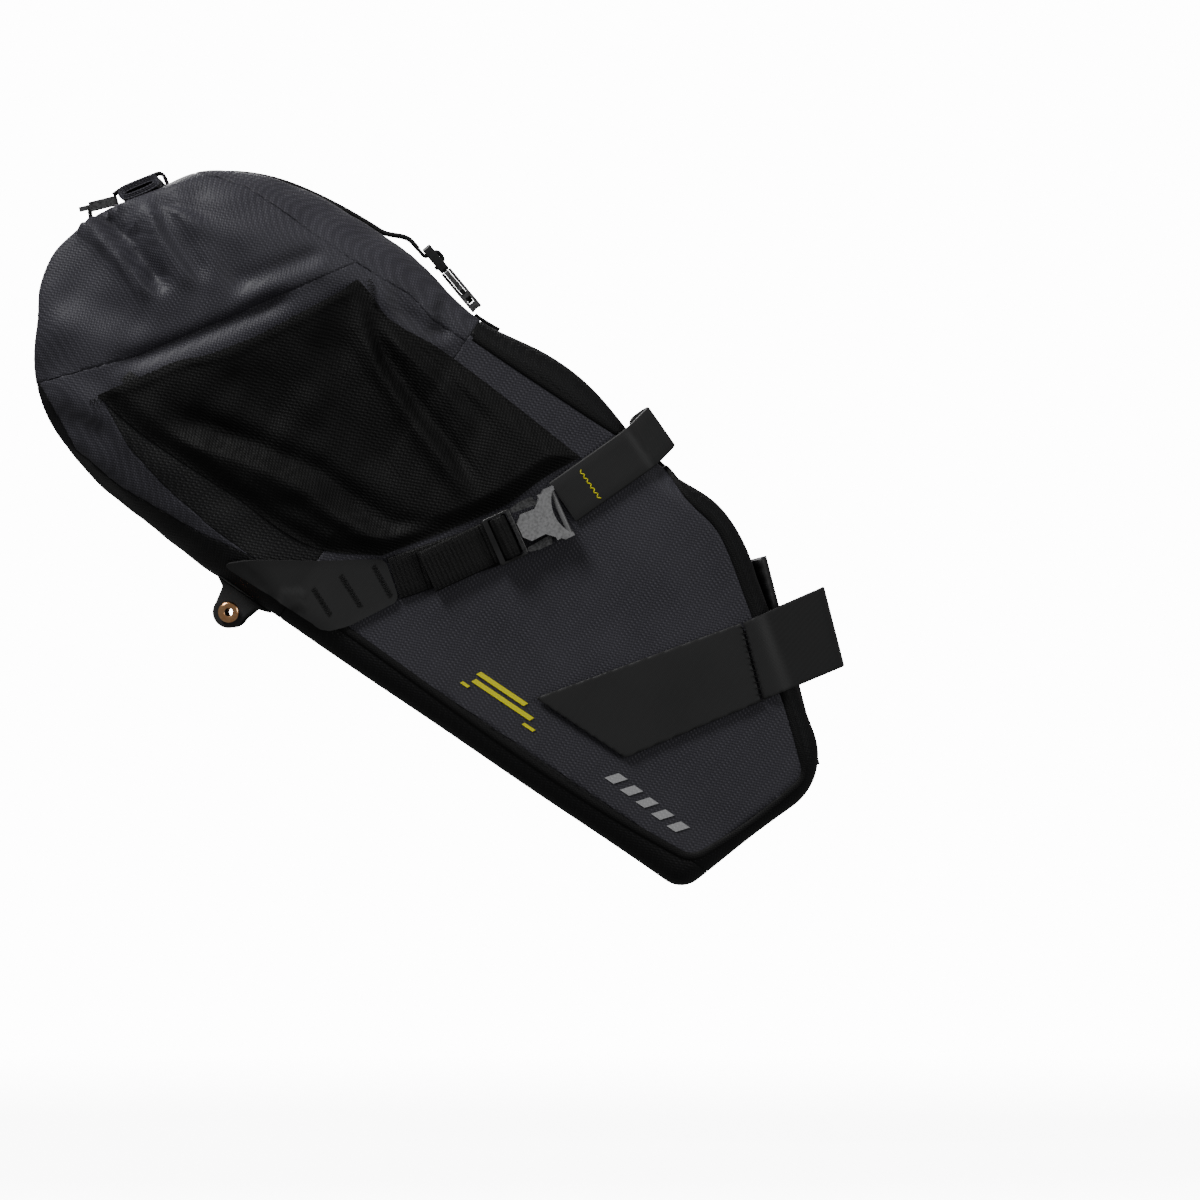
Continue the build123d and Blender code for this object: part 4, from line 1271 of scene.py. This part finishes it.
for name, voxel, body in (("seatpost_strap", 0.7, "root"), ("strap_flap", 0.6, "flap")):
    piece(name, softened(name, voxel), COATED_STRAP, body=body, stands_for=(name,))
seam_frame = strap_frame((28.9, -9.7), (1.1, -34.5), 2.2)
seam_stitches = []
for k in range(13):
    start = seam_frame @ Vector((1.5 + 2.9 * k, -1.2, 1.35))
    seam_stitches.append((start, seam_frame @ Vector((2.8 + 2.9 * k, 1.2, 1.35))))
seam_out = [FACE_OUT] * len(seam_stitches)
piece("strap_seam_stitches", stitches(seam_stitches, seam_out, thick=0.6), THREAD)
piece("hook_patch", softened("hook_patch", 0.4, 2), HOOK_TAPE, stands_for=("hook_patch",))


def seatpost_pad():
    """A soft grooved pad, a part of a tube round the back of the seatpost."""
    rings = []
    for rise in np.linspace(0, 1, 100):
        height = PAD_LOW + (PAD_HIGH - PAD_LOW) * rise
        end = min(rise, 1 - rise) * (PAD_HIGH - PAD_LOW)
        soft = min(1.0, end / 2.2)
        groove = 0.35 * (0.5 + 0.5 * math.cos(2 * math.pi * (height - PAD_LOW) / 5.5)) ** 4
        thick = PAD_T * (0.45 + 0.55 * math.sqrt(1 - (1 - soft) ** 2)) - groove
        ring = []
        turns = np.linspace(-PAD_HALF_ANGLE, PAD_HALF_ANGLE, 44)
        for turn in turns:
            edge = min(1.0, (PAD_HALF_ANGLE - abs(turn)) * POST_R / 2.0)
            away = POST_R + thick * (0.5 + 0.5 * math.sqrt(1 - (1 - edge) ** 2))
            ring.append(POST @ Vector((away * math.cos(turn), away * math.sin(turn), height)))
        for turn in turns[::-1]:
            ring.append(POST @ Vector((POST_R * math.cos(turn), POST_R * math.sin(turn), height)))
        rings.append(ring)
    return loft(rings)


pad = piece("seatpost_pad", seatpost_pad(), PAD_RUBBER, stands_for=("seatpost_pad",))

# ---- eyelets under the bag ---------------------------------------------------------------------

EYELET = (225.7, -136.7)
EYELET_Y = -50.0
EYELET_TOP = [(1.9, -0.5), (3.0, -1.0), (4.3, -0.8), (4.8, -0.1), (4.6, 0.0), (2.6, 0.0)]
EYELET_BOTTOM = [(2.6, 2.2), (4.6, 2.2), (4.8, 2.3), (4.3, 3.0), (3.0, 3.2), (1.9, 2.7)]
EYELET_PROFILE = EYELET_TOP + EYELET_BOTTOM


def eyelet():
    """A pressed metal eyelet with domed flanges."""
    rings = []
    for turn in np.linspace(0, 2 * math.pi, 48, endpoint=False):
        ring = []
        for away, deep in EYELET_PROFILE:
            place = (EYELET[0] + away * math.cos(turn), EYELET[1] + away * math.sin(turn), EYELET_Y - deep)
            ring.append(Vector(place))
        rings.append(ring)
    form = loft([*rings, rings[0]], capped=False)
    bmesh.ops.remove_doubles(form, verts=form.verts, dist=0.001)
    bmesh.ops.recalc_face_normals(form, faces=form.faces)
    return form


for label, side in SIDES:
    name = "eyelet_" + label
    piece(name, eyelet(), COPPER, stands_for=(name,), side=side, corner=60)
    name = "eyelet_tab_" + label
    tab = softened("eyelet_tab_" + label, 0.5, 3)
    piece(name, tab, COATED_STRAP, stands_for=(name,))

# ---- printed marks -----------------------------------------------------------------------------


def printed(name, outlines, material, side, lift=0.42):
    """Flat printed shapes on one side of the boot."""
    forms = [laid_on_skin(cutout(outline, 1.2), side, lift, 0.12) for outline in outlines]
    piece(name, joined(forms), material)


def slanted_bar(u, v, length, height, lean=0.5):
    """A leaning bar in (u, v), running back from its lower front corner."""
    top, back = v + height, lean * height
    return [(u, v), (u + length, v), (u + length - back, top), (u - back, top)]


for label, side in SIDES:
    long_bars = [slanted_bar(90, -97, 26, 2.2), slanted_bar(84, -101, 32, 2.2)]
    yellow_bars = [*long_bars, slanted_bar(80, -104.4, 6, 1.4), slanted_bar(116, -104.4, 4, 1.4)]
    printed("yellow_bars_" + label, yellow_bars, YELLOW_PRINT, side)
    grey_marks = [slanted_bar(36 - 9 * k, -103.5 - 0.6 * k, 5, 5.4, 0.8) for k in range(5)]
    printed("grey_chevrons_" + label, grey_marks, GREY_PRINT, side)

# ---- carried-over pieces: finish and softened edges --------------------------------------------


def finish_node(node, material, radius):
    """Give a CAD piece its material and round its edges."""
    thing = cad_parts[node]
    thing.data.materials.clear()
    thing.data.materials.append(material)
    if radius:
        round_off = thing.modifiers.new("rounded edges", "BEVEL")
        round_off.width = radius * MM
        round_off.segments = 3
        round_off.limit_method = "ANGLE"
        round_off.angle_limit = math.radians(35)
        thing.data.shade_smooth()
        thing.data.set_sharp_from_angle(angle=math.radians(50))


for node in sorted(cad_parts):
    if node.startswith("side_buckle_female"):
        finish_node(node, GREY_PLASTIC, 0.35)
    elif "buckle" in node or node == "rear_adjuster":
        finish_node(node, BLACK_PLASTIC, 0.35)
    elif "stiffener" in node:
        finish_node(node, STIFFENER, 0)
